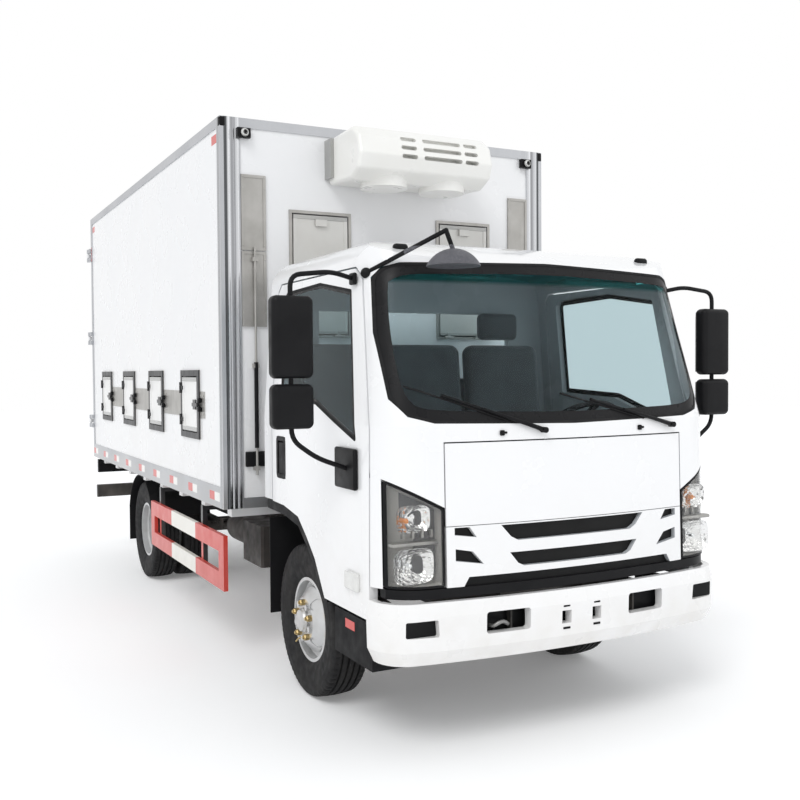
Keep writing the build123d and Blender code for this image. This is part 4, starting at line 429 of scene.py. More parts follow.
def paint_white(name="cab_paint", colour=(0.88, 0.88, 0.885), rough=0.22, dust=0.28, reach=(0.45, 1.15)):
    """Glossy white paint with orange peel and road dust along its lower edge."""
    f = Finish(name, colour, rough=rough, coat=0.7)
    f.vary(1.3, (0.84, 0.845, 0.86), 0.5).dust(WHITE_DUST, dust, *reach)
    f.roughen(5.0, rough - 0.05, rough + 0.08)
    return f.bump(f.noise(260.0, 2.0), 0.02, 0.0005)


def lined_paint():
    """White paint on faces that look away from the cab's middle, and grey lining on those that look there."""
    f = paint_white("cab_paint_lined")
    middle = f.put("ShaderNodeVectorMath", operation="SUBTRACT", _0=f.coords.outputs["Object"],
                   _1=(0.0, AXLE_F - 0.35, 1.5)).outputs[0]
    facing = f.put("ShaderNodeVectorMath", operation="DOT_PRODUCT", _0=middle, _1=f.coords.outputs["Normal"])
    inside = f.sum("LESS_THAN", facing.outputs["Value"], -0.05)
    f.blend(inside, (0.52, 0.54, 0.56))
    return f.swap(inside, "Coat Weight", 0.7, 0.0)


def aluminium():
    """Satin anodised profile: long drawn streaks, small scratches and dull patches."""
    f = Finish("satin_aluminium", (0.50, 0.51, 0.53), rough=0.32, metal=0.9)
    f.vary(2.0, (0.40, 0.41, 0.43), 0.6).dust(WHITE_DUST, 0.3, 0.88, 1.1)
    f.roughen(60.0, 0.28, 0.46, (1, 0.03, 0.03))
    return f.bump(f.noise(180.0, 3.0, (1, 0.02, 0.02)), 0.06, 0.0006)


def post_metal(name):
    """Bright drawn corner post with long streaks; its darker bands are painted shade and painted reflection."""
    f = Finish(name, (0.62, 0.63, 0.65), rough=0.24, metal=1.0)
    across = f.sum("ABSOLUTE", f.axis("X"))
    # Painted shade and painted reflection: darker bands across the post's front face and round
    for low, high, painted_shade_tone in ((1.046, 1.062, (0.10, 0.105, 0.11)), (1.074, 1.0815, (0.16, 0.165, 0.17)),
                            (0.998, 1.020, (0.34, 0.345, 0.36))):
        fall = f.ramp(across, high, high + 0.006, 1.0, 0.0)
        inside = f.sum("MULTIPLY", f.ramp(across, low - 0.006, low), fall)
        f.blend(inside, painted_shade_tone)
    f.roughen(60.0, 0.16, 0.34, (1, 1, 0.02))
    return f.bump(f.noise(160.0, 3.0, (1, 1, 0.01)), 0.05, 0.0005)


def plastic_black(name="grained_black", colour=(0.007, 0.007, 0.008), rough=0.48, grain=700.0):
    """Grained black moulding with a faint grey bloom."""
    f = Finish(name, colour, rough=rough, specular=0.16)
    f.vary(6.0, (0.014, 0.014, 0.015), 0.6).roughen(14.0, rough - 0.1, rough + 0.12)
    return f.bump(f.noise(grain, 3.0), 0.25, 0.0005)


def frame_paint():
    """Satin black chassis paint under road dust."""
    f = Finish("chassis_black", (0.014, 0.014, 0.015), rough=0.45, specular=0.25)
    f.vary(4.0, ROAD_DUST, 0.18).dust(ROAD_DUST, 0.30, 0.25, 0.95).roughen(12.0, 0.35, 0.65)
    return f.bump(f.noise(120.0, 4.0), 0.2, 0.0008)


def casting():
    """Rough grey casting with oil-dark patches."""
    f = Finish("bare_casting", (0.17, 0.17, 0.175), rough=0.62, metal=0.35)
    f.vary(7.0, (0.05, 0.045, 0.04), 0.7).roughen(20.0, 0.45, 0.75)
    return f.bump(f.noise(150.0, 6.0), 0.5, 0.002)


def rubber(name, dusty=0.3):
    """Dry black rubber with brown-grey dust and fine mould grain."""
    f = Finish(name, (0.011, 0.011, 0.012), rough=0.72, specular=0.25)
    f.vary(11.0, (0.055, 0.051, 0.047), dusty).roughen(25.0, 0.6, 0.85)
    return f.bump(f.noise(350.0, 4.0), 0.3, 0.0008)


def wheel_paint():
    """Silver wheel paint with fine metallic flake and patches of brake dust."""
    f = Finish("wheel_silver", (0.62, 0.625, 0.63), rough=0.34, metal=0.65, coat=0.3)
    f.vary(14.0, (0.40, 0.39, 0.37), 0.45).roughen(30.0, 0.28, 0.48)
    return f.bump(f.noise(900.0, 2.0), 0.08, 0.0003)


def steel(name, colour=(0.50, 0.49, 0.47)):
    """Brushed stainless plate with handling marks."""
    f = Finish(name, colour, rough=0.36, metal=0.8)
    f.vary(9.0, (0.32, 0.31, 0.29), 0.7).roughen(80.0, 0.28, 0.5, (1, 1, 0.05))
    return f.bump(f.noise(240.0, 3.0, (1, 1, 0.03)), 0.15, 0.0005)


def brass(name):
    """Yellow-plated nut with dull patches."""
    f = Finish(name, (0.55, 0.42, 0.20), rough=0.38, metal=0.9)
    return f.vary(60.0, (0.28, 0.20, 0.10), 0.6).bump(f.noise(400.0, 3.0), 0.2, 0.0004)


def mirror_glass(name):
    """Silvered mirror with a trace of haze."""
    f = Finish(name, (0.80, 0.82, 0.84), rough=0.04, metal=1.0)
    return f.roughen(8.0, 0.02, 0.07)


def chrome_bowl(name):
    """Vacuum-plated reflector with pressed facets."""
    f = Finish(name, (0.82, 0.82, 0.82), rough=0.10, metal=1.0)
    cells = f.put("ShaderNodeTexVoronoi", Vector=f.place(), Scale=55.0, feature="F1").outputs[0]
    return f.roughen(30.0, 0.05, 0.16).bump(cells, 0.9, 0.006)


def clear_lens(name):
    """Clear moulding whose roughness wanders a little."""
    f = Finish(name, (0.97, 0.97, 0.96), rough=0.03, glass=0.96, ior=1.20)
    return f.roughen(12.0, 0.01, 0.06)


def tinted_lens(name, colour):
    """Coloured lens with small pressed prisms that shines a little by itself."""
    f = Finish(name, colour, rough=0.18, coat=0.8, glow=0.04)
    cells = f.put("ShaderNodeTexVoronoi", Vector=f.place(), Scale=160.0).outputs[0]
    return f.vary(20.0, tuple(0.7 * c for c in colour), 0.5).bump(cells, 0.5, 0.0015)


def window_glass(name, colour, top=None):
    """Tinted safety glass, with a shaded band along the top where one is asked for."""
    f = Finish(name, colour, rough=0.01, glass=1.0, ior=1.12)
    if top:
        share = f.ramp(f.axis("Z"), top[0], top[1])
        f.blend(share, top[2])
    return f.roughen(2.0, 0.0, 0.015)


def reflective(name, colour):
    """Retro-reflective sheet: small many-sided cells under a clear skin."""
    f = Finish(name, colour, rough=0.3, coat=0.5)
    cells = f.put("ShaderNodeTexVoronoi", Vector=f.place(), Scale=260.0, feature="DISTANCE_TO_EDGE")
    cells = cells.outputs[0]
    f.blend(f.ramp(cells, 0.02, 0.06, 0.35, 0.0), tuple(0.55 * c for c in colour))
    return f.bump(cells, 0.2, 0.0004)


def cloth(name, colour=(0.13, 0.135, 0.145)):
    """Woven seat cloth: fine crossed threads, darker pile in places and a soft sheen."""
    f = Finish(name, colour, rough=0.85, sheen=0.4)
    warp = f.put("ShaderNodeTexWave", Vector=f.place(), Scale=260.0, bands_direction="X").outputs[1]
    weft = f.put("ShaderNodeTexWave", Vector=f.place(), Scale=260.0, bands_direction="Z").outputs[1]
    thread = f.sum("MULTIPLY", warp, weft)
    f.blend(f.ramp(thread, 0.2, 0.8, 0.0, 0.35), tuple(1.8 * c for c in colour))
    f.vary(5.0, (0.07, 0.07, 0.075), 0.5)
    return f.bump(thread, 0.5, 0.0008)


def moulded_grey(name, colour):
    """Grey cabin moulding with leather-like grain."""
    f = Finish(name, colour, rough=0.6)
    cells = f.put("ShaderNodeTexVoronoi", Vector=f.place(), Scale=420.0).outputs[0]
    return f.vary(3.0, tuple(0.75 * c for c in colour), 0.5).roughen(10.0, 0.5, 0.7).bump(cells, 0.3, 0.0006)


def guard_paint():
    """Under-run guard: red at both ends, cream white along its middle third, black hangers behind."""
    f = Finish("guard_paint", (0.62, 0.045, 0.03), rough=0.35, coat=0.4)
    low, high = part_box("side_guards")
    third = (high.y - low.y) / 3
    middle = f.sum("MULTIPLY", f.beyond("Y", low.y + third), f.beyond("Y", high.y - third, below=True))
    f.blend(middle, (0.82, 0.80, 0.74))
    f.blend(f.beyond("X", high.x - 0.0265, absolute=True, below=True), PART_BLACK)
    f.blend(f.beyond("Z", 0.7255), PART_BLACK)
    return f.dust(ROAD_DUST, 0.2, 0.4, 0.75).roughen(9.0, 0.3, 0.5).bump(f.noise(200.0, 3.0), 0.1, 0.0006)


def hatch_fitting():
    """Black hatch frames on the sides, brushed latch plates between them and satin covers at the front."""
    f = Finish("hatch_fitting", (0.45, 0.44, 0.42), rough=0.36, metal=0.7)
    f.vary(9.0, (0.30, 0.29, 0.27), 0.6)
    outside = f.beyond("X", SIDE_SKIN + 0.0035, absolute=True)
    black = f.sum("MULTIPLY", outside, f.beyond("Y", BOX_FRONT + 0.1))
    f.blend(black, (0.024, 0.024, 0.026))
    f.swap(black, "Metallic", 0.7, 0.0).roughen(40.0, 0.3, 0.5, (1, 1, 0.1))
    return f.bump(f.noise(240.0, 3.0, (1, 1, 0.05)), 0.12, 0.0005)


def hatch_panel():
    """White hatch panel with a thin grey edge and black latch parts."""
    f = Finish("hatch_panel", (0.84, 0.84, 0.835), rough=0.32, coat=0.3)
    f.vary(5.0, (0.76, 0.75, 0.72), 0.5)
    edge = f.sum("GREATER_THAN", f.sum("ABSOLUTE", f.sum("SUBTRACT", f.axis("Z"), HATCH_Z)), 0.139)
    f.blend(edge, EDGE_GREY).blend(f.beyond("X", HATCH_FACE + 0.0015, absolute=True), PART_BLACK)
    return f.roughen(9.0, 0.28, 0.42).bump(f.noise(300.0, 2.0), 0.08, 0.0004)


def vent_panel():
    """Grey-white tilting vent panel framed in satin metal."""
    f = Finish("vent_panel", (0.66, 0.655, 0.63), rough=0.4, metal=0.25)
    low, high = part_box("front_hatch_left")
    rim = f.sum("MAXIMUM", f.beyond("Z", low.z + 0.035, below=True), f.beyond("Z", high.z - 0.024))
    f.blend(rim, EDGE_GREY)
    f.vary(4.0, (0.55, 0.53, 0.50), 0.6).roughen(12.0, 0.32, 0.5)
    return f.bump(f.noise(200.0, 3.0), 0.1, 0.0005)


def rear_door_panel():
    """White rear door with stainless hinges and lock rods on its outer face."""
    f = Finish("rear_door_panel", (0.86, 0.86, 0.865), rough=0.3, coat=0.25)
    f.vary(0.9, (0.80, 0.81, 0.83), 0.5)
    metal = f.beyond("Y", BOX_REAR + 0.051)
    f.blend(metal, (0.55, 0.55, 0.55)).swap(metal, "Metallic", 0.0, 0.85)
    return f.dust(WHITE_DUST, 0.25, 0.9, 1.5).roughen(4.0, 0.24, 0.38).bump(f.noise(300.0, 2.0), 0.06, 0.0004)


def cooler_shell():
    """Cream-white cooler moulding with steel brackets at its ends."""
    f = Finish("cooler_shell", (0.87, 0.865, 0.84), rough=0.3, coat=0.3)
    f.vary(3.0, (0.80, 0.79, 0.74), 0.5)
    metal = f.beyond("X", 0.4302, absolute=True)
    f.blend(metal, EDGE_GREY).swap(metal, "Metallic", 0.0, 0.8)
    return f.roughen(6.0, 0.24, 0.4).bump(f.noise(260.0, 2.0), 0.08, 0.0005)


def fittings_black():
    """Black wiper and arm plastic, with the convex mirror's dome speckled grey."""
    f = plastic_black("cab_fitting_black")
    low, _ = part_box("cab_fittings")
    dome = f.sum("MULTIPLY", f.beyond("Y", low.y + 0.255, below=True), f.beyond("Z", 2.05))
    dome = f.sum("MULTIPLY", dome, f.beyond("Z", 2.2, below=True))
    f.blend(dome, (0.085, 0.085, 0.095))
    speck = f.ramp(f.noise(420.0, 2.0), 0.52, 0.6)
    return f.blend(f.sum("MULTIPLY", dome, speck), (0.22, 0.22, 0.24))


def floor_pale():
    """Pale studio floor with a barely visible tooth."""
    f = Finish("studio_floor", (0.95, 0.95, 0.95), rough=0.9, glow=0.16)
    return f.vary(0.4, (0.91, 0.91, 0.915), 0.4)


def carried_finishes():
    """Materials of the nodes that stay as they are, by the node's name, each built once."""
    panel, trim, black = panel_white().material, aluminium().material, plastic_black().material
    chassis, painted = frame_paint().material, lined_paint().material
    silver, hatch, vent = wheel_paint().material, hatch_panel().material, vent_panel().material
    side = window_glass("side_glass", (0.55, 0.64, 0.66)).material
    screen = window_glass("screen_glass", (0.86, 0.95, 0.97), (2.045, 2.065, (0.08, 0.42, 0.42))).material
    leaf = rear_door_panel().material
    made = {
        "engine_and_driveline": casting().material, "box_trims": trim,
        "hatch_fittings": hatch_fitting().material, "refrigeration_unit": cooler_shell().material,
        "side_guards": guard_paint().material,
        "mudguards_and_steps": plastic_black("step_black", (0.009, 0.009, 0.010), 0.6).material,
        "front_bumper": paint_white("bumper_paint", (0.87, 0.865, 0.86), 0.28, 0.4, (0.42, 0.75)).material,
        "cab_glass": screen, "grille_backing": plastic_black("grille_black", (0.012,) * 3).material,
        "cab_floor": moulded_grey("cab_floor_mat", (0.05, 0.05, 0.055)).material,
        "dashboard": moulded_grey("dash_grey", (0.085, 0.09, 0.10)).material,
        "steering_wheel": plastic_black("wheel_grip", (0.03, 0.03, 0.032), 0.5, 500.0).material,
        "cab_fittings": fittings_black().material,
    }
    for names, material in (
            ("chassis_frame leaf_springs front_axle_beam rear_axle fuel_tank battery_box", chassis),
            ("rear_bumper", chassis),
            ("box_floor box_roof box_front_wall box_left_wall box_right_wall", panel),
            ("cab_shell front_lid grille", painted), ("body_lamps cab_arches", black)):
        made.update({name: material for name in names.split()})
    for side_name in ("left", "right"):
        for kind, material in (("knuckle", chassis), ("front_rim", silver), ("rear_rims", silver),
                               ("rear_leaf", leaf), ("front_hatch", vent), ("door", painted),
                               ("door_glass", side)):
            made[f"{kind}_{side_name}"] = material
        made.update({f"side_hatch_{side_name}_{n}": hatch for n in (1, 2, 3, 4)})
    return made


# Settings that a user would change

class TruckSizes(bpy.types.PropertyGroup):
    """Sizes of the trim that is made here."""

    tread_ribs: bpy.props.IntProperty(
        name="Tread ribs", description="Ribs across each tyre's tread", default=5, min=3, max=7)
    groove_depth: bpy.props.FloatProperty(
        name="Groove depth", description="Depth of the tread's grooves", default=0.011, unit="LENGTH")
    frit_width: bpy.props.FloatProperty(
        name="Glass edge", description="Width of the windscreen's black edge", default=0.052, unit="LENGTH")
    seal_width: bpy.props.FloatProperty(
        name="Seal width", description="Width of the windscreen's seal", default=0.012, unit="LENGTH")
    reflector_pairs: bpy.props.IntProperty(
        name="Reflector pairs", description="Pairs on each lower rail", default=9, min=2, max=16)


class TruckColours(bpy.types.PropertyGroup):
    """Colours of the small coloured parts."""

    signal_red: bpy.props.FloatVectorProperty(
        name="Red", description="Reflectors, rear lamps", subtype="COLOR", size=3, default=(0.62, 0.03, 0.02))
    signal_white: bpy.props.FloatVectorProperty(
        name="White", description="White reflectors", subtype="COLOR", size=3, default=(0.84, 0.83, 0.80))
    signal_amber: bpy.props.FloatVectorProperty(
        name="Amber", description="Turn lamps", subtype="COLOR", size=3, default=(0.80, 0.25, 0.02))


def sizes():
    """The scene's trim sizes."""
    return bpy.context.scene.truck_sizes


def colours():
    """The scene's colours of small parts."""
    return bpy.context.scene.truck_colours


MADE = {}


def trim_material(name):
    """Material of the trim by its name, made on first use and shared after that."""
    if name not in MADE:
        tints = colours()
        red, white, amber = map(tuple, (tints.signal_red, tints.signal_white, tints.signal_amber))
        make, *values = {
            "trim_black": (plastic_black, (0.006, 0.006, 0.007), 0.42),
            "frit_black": (plastic_black, (0.010, 0.010, 0.011), 0.3, 900.0),
            "seal_rubber": (rubber, 0.1),
            "tyre_rubber": (rubber,),
            "plated_nut": (brass,),
            "hub_cap": (steel, (0.62, 0.62, 0.62)),
            "lamp_shelf": (steel, (0.36, 0.355, 0.34)),
            "hook_steel": (steel, (0.25, 0.25, 0.25)),
            "stainless_plate": (steel,),
            "post_metal": (post_metal,),
            "lamp_grey": (moulded_grey, (0.42, 0.41, 0.39)),
            "visor_grey": (moulded_grey, (0.35, 0.35, 0.34)),
            "reflector_chrome": (chrome_bowl,),
            "mirror_glass": (mirror_glass,),
            "clear_lens": (clear_lens,),
            "amber_lens": (tinted_lens, amber),
            "red_lens": (tinted_lens, red),
            "pale_lens": (tinted_lens, (0.75, 0.75, 0.73)),
            "side_lamp": (tinted_lens, (0.72, 0.72, 0.70)),
            "dome_lens": (tinted_lens, (0.62, 0.62, 0.60)),
            "reflective_red": (reflective, red),
            "reflective_white": (reflective, white),
            "seat_cloth": (cloth,),
        }[name]
        MADE[name] = make(name, *values).material
    return MADE[name]


# Wheels

TREAD_HALF, TYRE_HALF, BEAD_HALF, BEAD_R = 0.084, 0.100, 0.0667, 0.2056
SHOULDER_DROP, CROWN_DROP = 0.034, 0.006
GROOVE_HALF, GROOVE_SLOPE = 0.0062, 0.0018
SHOULDER_SLOTS, SLOT_DEPTH = 72, 0.006

# Wheel nuts and hub caps: outer face of each rim's disc, radius of the bolt circle and length of a nut
RIM_FACE, REAR_DISC_FACE, NUT_COUNT = 0.860, 0.730, 5
FRONT_BOLTS_R, REAR_BOLTS_R, FRONT_NUT, REAR_NUT = 0.092, 0.114, 0.034, 0.036
HUB_CAP = ((0, 0.0), (0, 0.062), (0.012, 0.062), (0.016, 0.057), (0.026, 0.0535), (0.031, 0.044),
           (0.033, 0.03), (0.0335, 0.0))
VALVE = ((0.835, 0.10, -0.115), (0.852, 0.105, -0.12), (0.862, 0.12, -0.14))


def tyre_profile(ribs, depth):
    """Closed section as (across, radius).

    The sidewall bulges as a power of a sine, with a rim ring and a shoulder ring as bell curves. The crown
    falls off with the square of the distance across, less a groove of a given depth between the ribs.
    """
    low, shoulder = BEAD_R + 0.008, TYRE_R - SHOULDER_DROP
    wall = np.linspace(0, 1, 15)
    reach = BEAD_HALF + (TYRE_HALF - BEAD_HALF) * np.sin(np.pi * np.minimum(wall * 0.62 + 0.06, 0.5)) ** 0.8
    ring = 0.0025 * np.exp(-((wall - 0.18) / 0.05) ** 2) + 0.002 * np.exp(-((wall - 0.78) / 0.04) ** 2)
    side = np.stack([reach + ring - 0.003, low + (shoulder - low) * wall], 1)
    across = np.linspace(TREAD_HALF, -TREAD_HALF, 16 * ribs + 1)
    crown = TYRE_R - 0.0002 - CROWN_DROP * (across / TREAD_HALF) ** 2
    place = (across / (2 * TREAD_HALF) + 0.5) * ribs
    near_gap = np.abs(place - np.round(place)) * 2 * TREAD_HALF / ribs
    inner = (np.round(place) > 0) & (np.round(place) < ribs)
    crown = crown - depth * inner * np.clip((GROOVE_HALF - near_gap) / GROOVE_SLOPE, 0, 1)
    corner = np.array([[0.0935, TYRE_R - 0.022], [0.0905, TYRE_R - 0.012]])
    mirrored = (-1, 1)
    return np.vstack([[[BEAD_HALF, BEAD_R]], side, corner, np.stack([across, crown], 1),
                      corner[::-1] * mirrored, side[::-1] * mirrored, [[-BEAD_HALF, BEAD_R]]])


def tyre_parts(centres, axle_y, side):
    """Tyres revolved about the axle, with shoulder blocks nicked by short slots that follow a square wave."""
    profile = tyre_profile(sizes().tread_ribs, sizes().groove_depth)
    parts = []
    for x in centres:
        points, _ = lathe(profile, (0, 0, 0), "x", 288)
        angle = np.arctan2(points[..., 2], points[..., 1])
        radius = np.hypot(points[..., 1], points[..., 2])
        shoulder = (np.abs(points[..., 0]) > 0.064) & (radius > TYRE_R - 0.03)
        slot = (np.sin(angle * SHOULDER_SLOTS) > 0.55) & shoulder
        points[..., 1:] *= np.where(slot, 1 - SLOT_DEPTH / radius, 1)[..., None]
        points += (side * x, axle_y, TYRE_R)
        parts.append((points, quads(*points.shape[:2], wrap_rows=True, wrap_columns=True)))
    return parts


class TRUCK_OT_tyres(bpy.types.Operator):
    """Ribbed road tyres on every wheel."""

    bl_idname = "truck.tyres"
    bl_label = "Tyres"

    def execute(self, context):
        for side, name in SIDES:
            single = tyre_parts((FRONT_CENTRE,), AXLE_F, side)
            piece(f"tyre_front_{name}", single, f"front_wheel_{name}", "tyre", "tyre_rubber",
                  (f"front_tyre_{name}",))
            twins = tyre_parts(TWIN_CENTRES, AXLE_R, side)
            piece(f"tyres_rear_{name}", twins, f"rear_wheels_{name}", "tyre", "tyre_rubber",
                  (f"rear_tyres_{name}",))
        return {"FINISHED"}


def nut_parts(face_x, axle_y, side, bolts_r, length):
    """Hexagon nuts in a circle: a six-sided profile carried outwards and drawn in at its tip."""
    rows = ((0, 0.0), (0, 0.0168), (0.62, 0.0162), (0.80, 0.0135), (0.80, 0.009), (1, 0.0085), (1, 0.0))
    profile = [(side * length * share, radius) for share, radius in rows]
    parts = []
    for n in range(NUT_COUNT):
        turn = math.radians(90 + 360 * n / NUT_COUNT)
        centre = (side * face_x, axle_y + bolts_r * math.cos(turn), TYRE_R + bolts_r * math.sin(turn))
        parts.append(lathe(profile, centre, "x", 6))
    return parts


class TRUCK_OT_wheel_trim(bpy.types.Operator):
    """Wheel nuts, hub caps and valves."""

    bl_idname = "truck.wheel_trim"
    bl_label = "Wheel Trim"

    def execute(self, context):
        for side, name in SIDES:
            front, rear = f"front_wheel_{name}", f"rear_wheels_{name}"
            nuts = nut_parts(RIM_FACE, AXLE_F, side, FRONT_BOLTS_R, FRONT_NUT)
            piece(f"nuts_front_{name}", nuts, front, "wheel_silver", "plated_nut", smooth=False)
            nuts = nut_parts(REAR_DISC_FACE, AXLE_R, side, REAR_BOLTS_R, REAR_NUT)
            piece(f"nuts_rear_{name}", nuts, rear, "wheel_silver", "plated_nut", smooth=False)
            cap = lathe([(side * out, r) for out, r in HUB_CAP], (side * RIM_FACE, AXLE_F, TYRE_R), "x", 64)
            piece(f"hub_cap_front_{name}", [cap], front, "wheel_silver", "hub_cap")
            valve = eased([(side * x, AXLE_F + y, TYRE_R + z) for x, y, z in VALVE], 0.01)
            piece(f"valve_front_{name}", [tube(valve, 0.0045, 10)], front, "wheel_silver", "plated_nut")
        return {"FINISHED"}


# Front lamps

LAMP_BEZEL, LAMP_DEPTH = 0.009, 0.085
LAMP_FINS = (0.69, 0.735, 0.78, 0.825)


def skin_y(x, z):
    """Y of the cab's front skin at one point."""
    return on_nose(np.array([[x, z]]), 0.0)[0, 1]


def lamp_outline(gap, side):
    """Headlamp's outline on one side, drawn in by a gap."""
    return drawn_in(smooth_outline(LAMP, 160, 0.014), gap) * (side, 1)


def bucket(outline, place, depth_front, depth_back):
    """Open housing behind an outline: walls that step back from the skin, and a closed back."""
    middle = outline.mean(0)

    def row(scale, back):
        line = place(middle + (outline - middle) * scale, depth_front)
        line[..., 1] += back * (depth_back - depth_front)
        return line

    rows = [row(1 - 0.06 * share, share) for share in np.linspace(0, 1, 5)]
    rows += [row(0.94 * share, 1) for share in np.linspace(0.9, 0.02, 8)]
    count = len(outline)
    return np.stack(rows), quads(len(rows), count, wrap_columns=True) + [row_face(len(rows) - 1, count)]


def bowl(centre, radii, depth, side, rings=14, steps=56):
    """Reflector bowl opening towards -Y: depth (1 - share^2) behind a rim that is a superellipse."""
    turn = np.linspace(0, 2 * np.pi, steps, endpoint=False)
    rim = (np.abs(np.cos(turn)) ** 4 + np.abs(np.sin(turn)) ** 4) ** -0.25
    share = np.linspace(1, 0.05, rings)[:, None]
    x = centre[0] + side * radii[0] * share * rim * np.cos(turn)
    z = centre[2] + radii[1] * share * rim * np.sin(turn)
    y = centre[1] + depth * (1 - share ** 2) + 0 * turn
    return np.stack([x, y, z], -1), quads(rings, steps, wrap_columns=True) + [row_face(rings - 1, steps)]


class TRUCK_OT_front_lamps(bpy.types.Operator):
    """Headlamps with reflectors behind a clear lens, and the roof marker lamps."""

    bl_idname = "truck.front_lamps"
    bl_label = "Front Lamps"

    def execute(self, context):
        low_y, top_y = skin_y(0.78, 0.84), skin_y(0.78, 1.02)
        for side, name in SIDES:
            line, inner = lamp_outline(0.0, side), lamp_outline(LAMP_BEZEL, side)
            housing = bucket(lamp_outline(0.002, side), on_nose, 0.006, LAMP_DEPTH)
            lens = band(inner, inner * 0 + inner.mean(0), on_nose, 0.0015, 0.0045, 14)
            bezel = band(line, inner, on_nose, 0.0008, 0.012)
            bowls = [bowl((side * 0.782, low_y + 0.026, 0.842), (0.096, 0.076), 0.052, side),
                     bowl((side * 0.778, top_y + 0.030, 1.040), (0.080, 0.058), 0.050, side)]
            shelf_y = (top_y + 0.016, top_y + 0.06)
            shelf = [pillow(*sided(side, (0.662, 0.884), shelf_y, (0.928, 0.944)), 0.005)]
            fin_y = (top_y + 0.026, top_y + 0.05)
            shelf += [pillow(*sided(side, (x - 0.006, x + 0.006), fin_y, (0.958, 0.990)), 0.003, (16, 8))
                      for x in LAMP_FINS]
            bulb, turn_bulb, marker = (pillow(*sided(side, *ranges), corner) for corner, *ranges in (
                (0.011, (0.779, 0.801), (low_y + 0.034, low_y + 0.074), (0.831, 0.853)),
                (0.011, (0.788, 0.812), (top_y + 0.045, top_y + 0.08), (1.018, 1.042)),
                (0.016, (0.654, 0.726), (AXLE_F - 0.788, AXLE_F - 0.752), (2.168, 2.2315))))
            for kind, parts, slot, material, *stands in (
                    ("headlamp_housing", [housing], "black_plastic", "lamp_grey"),
                    ("headlamp_bezel", [bezel], "black_plastic", "trim_black"),
                    ("headlamp_lens", [lens], "lamp_lens", "clear_lens", "cab_lamps"),
                    ("headlamp_bowls", bowls, "lamp_lens", "reflector_chrome"),
                    ("headlamp_shelf", shelf, "black_plastic", "lamp_shelf"),
                    ("headlamp_bulb", [bulb], "lamp_lens", "mirror_glass"),
                    ("turn_bulb", [turn_bulb], "lamp_lens", "amber_lens"),
                    ("roof_marker", [marker], "lamp_lens", "trim_black")):
                piece(f"{kind}_{name}", parts, "cab", slot, material, stands)
        return {"FINISHED"}


# Glass edges

DOOR_FRIT, DOOR_SEAL = 0.026, 0.013
FRIT_IN, FRIT_BACK, SEAL_BACK = 0.0034, 0.0039, 0.0038


class TRUCK_OT_glass_edges(bpy.types.Operator):
    """Black printed edges behind each pane and the rubber lips round them."""

    bl_idname = "truck.glass_edges"
    bl_label = "Glass Edges"

    def execute(self, context):
        outer = smooth_outline(both_sides(SCREEN), 300, 0.03)
        inner = drawn_in(smooth_outline(both_sides(SCREEN), 300, 0.20), sizes().frit_width)
        print_band = band(drawn_in(outer, 0.001), inner, on_nose, FRIT_IN, FRIT_BACK, 8)
        piece("windscreen_edge_print", [print_band], "cab", "black_plastic", "frit_black")
        seal = band(outer, drawn_in(outer, sizes().seal_width), on_nose, 0.0012, SEAL_BACK)
        piece("windscreen_seal", [seal], "cab", "black_plastic", "seal_rubber")
        line = smooth_outline([(AXLE_F + y, z) for y, z in WINDOW], 200, 0.014)
        for side, name in SIDES:
            place = on_side(side)
            edge = band(drawn_in(line, 0.001), drawn_in(line, DOOR_FRIT), place, FRIT_IN, FRIT_BACK)
            piece(f"door_glass_edge_{name}", [edge], f"door_{name}", "black_plastic", "frit_black")
            seal = band(line, drawn_in(line, DOOR_SEAL), place, 0.0006, SEAL_BACK)
            piece(f"door_glass_seal_{name}", [seal], f"door_{name}", "black_plastic", "seal_rubber")
        return {"FINISHED"}


# Nose

# Wipers: pivot and far end of each arm's line as (x, z), and the shares of it that blade and arm cover
WIPERS = (((-0.178, 1.402), (-0.650, 1.560)), ((0.585, 1.402), (0.100, 1.530)))
BLADE_SHARES, ARM_SHARES = np.linspace(0.36, 1.32, 32), np.linspace(0.02, 0.62, 12)
NOZZLE_X, NOZZLE_Z = 0.381, 1.394
# Painted shade strip over the bumper: half width, steps, low and high edges, front and back insets
BAND_HALF, BAND_STEPS = 0.885, 90
BAND_LOW, BAND_HIGH, BAND_FRONT, BAND_BACK = 0.704, 0.744, 0.006, 0.03


def skin_line(root, tip, shares, proud):
    """Points on the nose, some way proud, along root + share (tip - root) as seen from the front."""
    root, tip = np.array(root), np.array(tip)
    return on_nose(root + (tip - root) * shares[:, None], -proud)


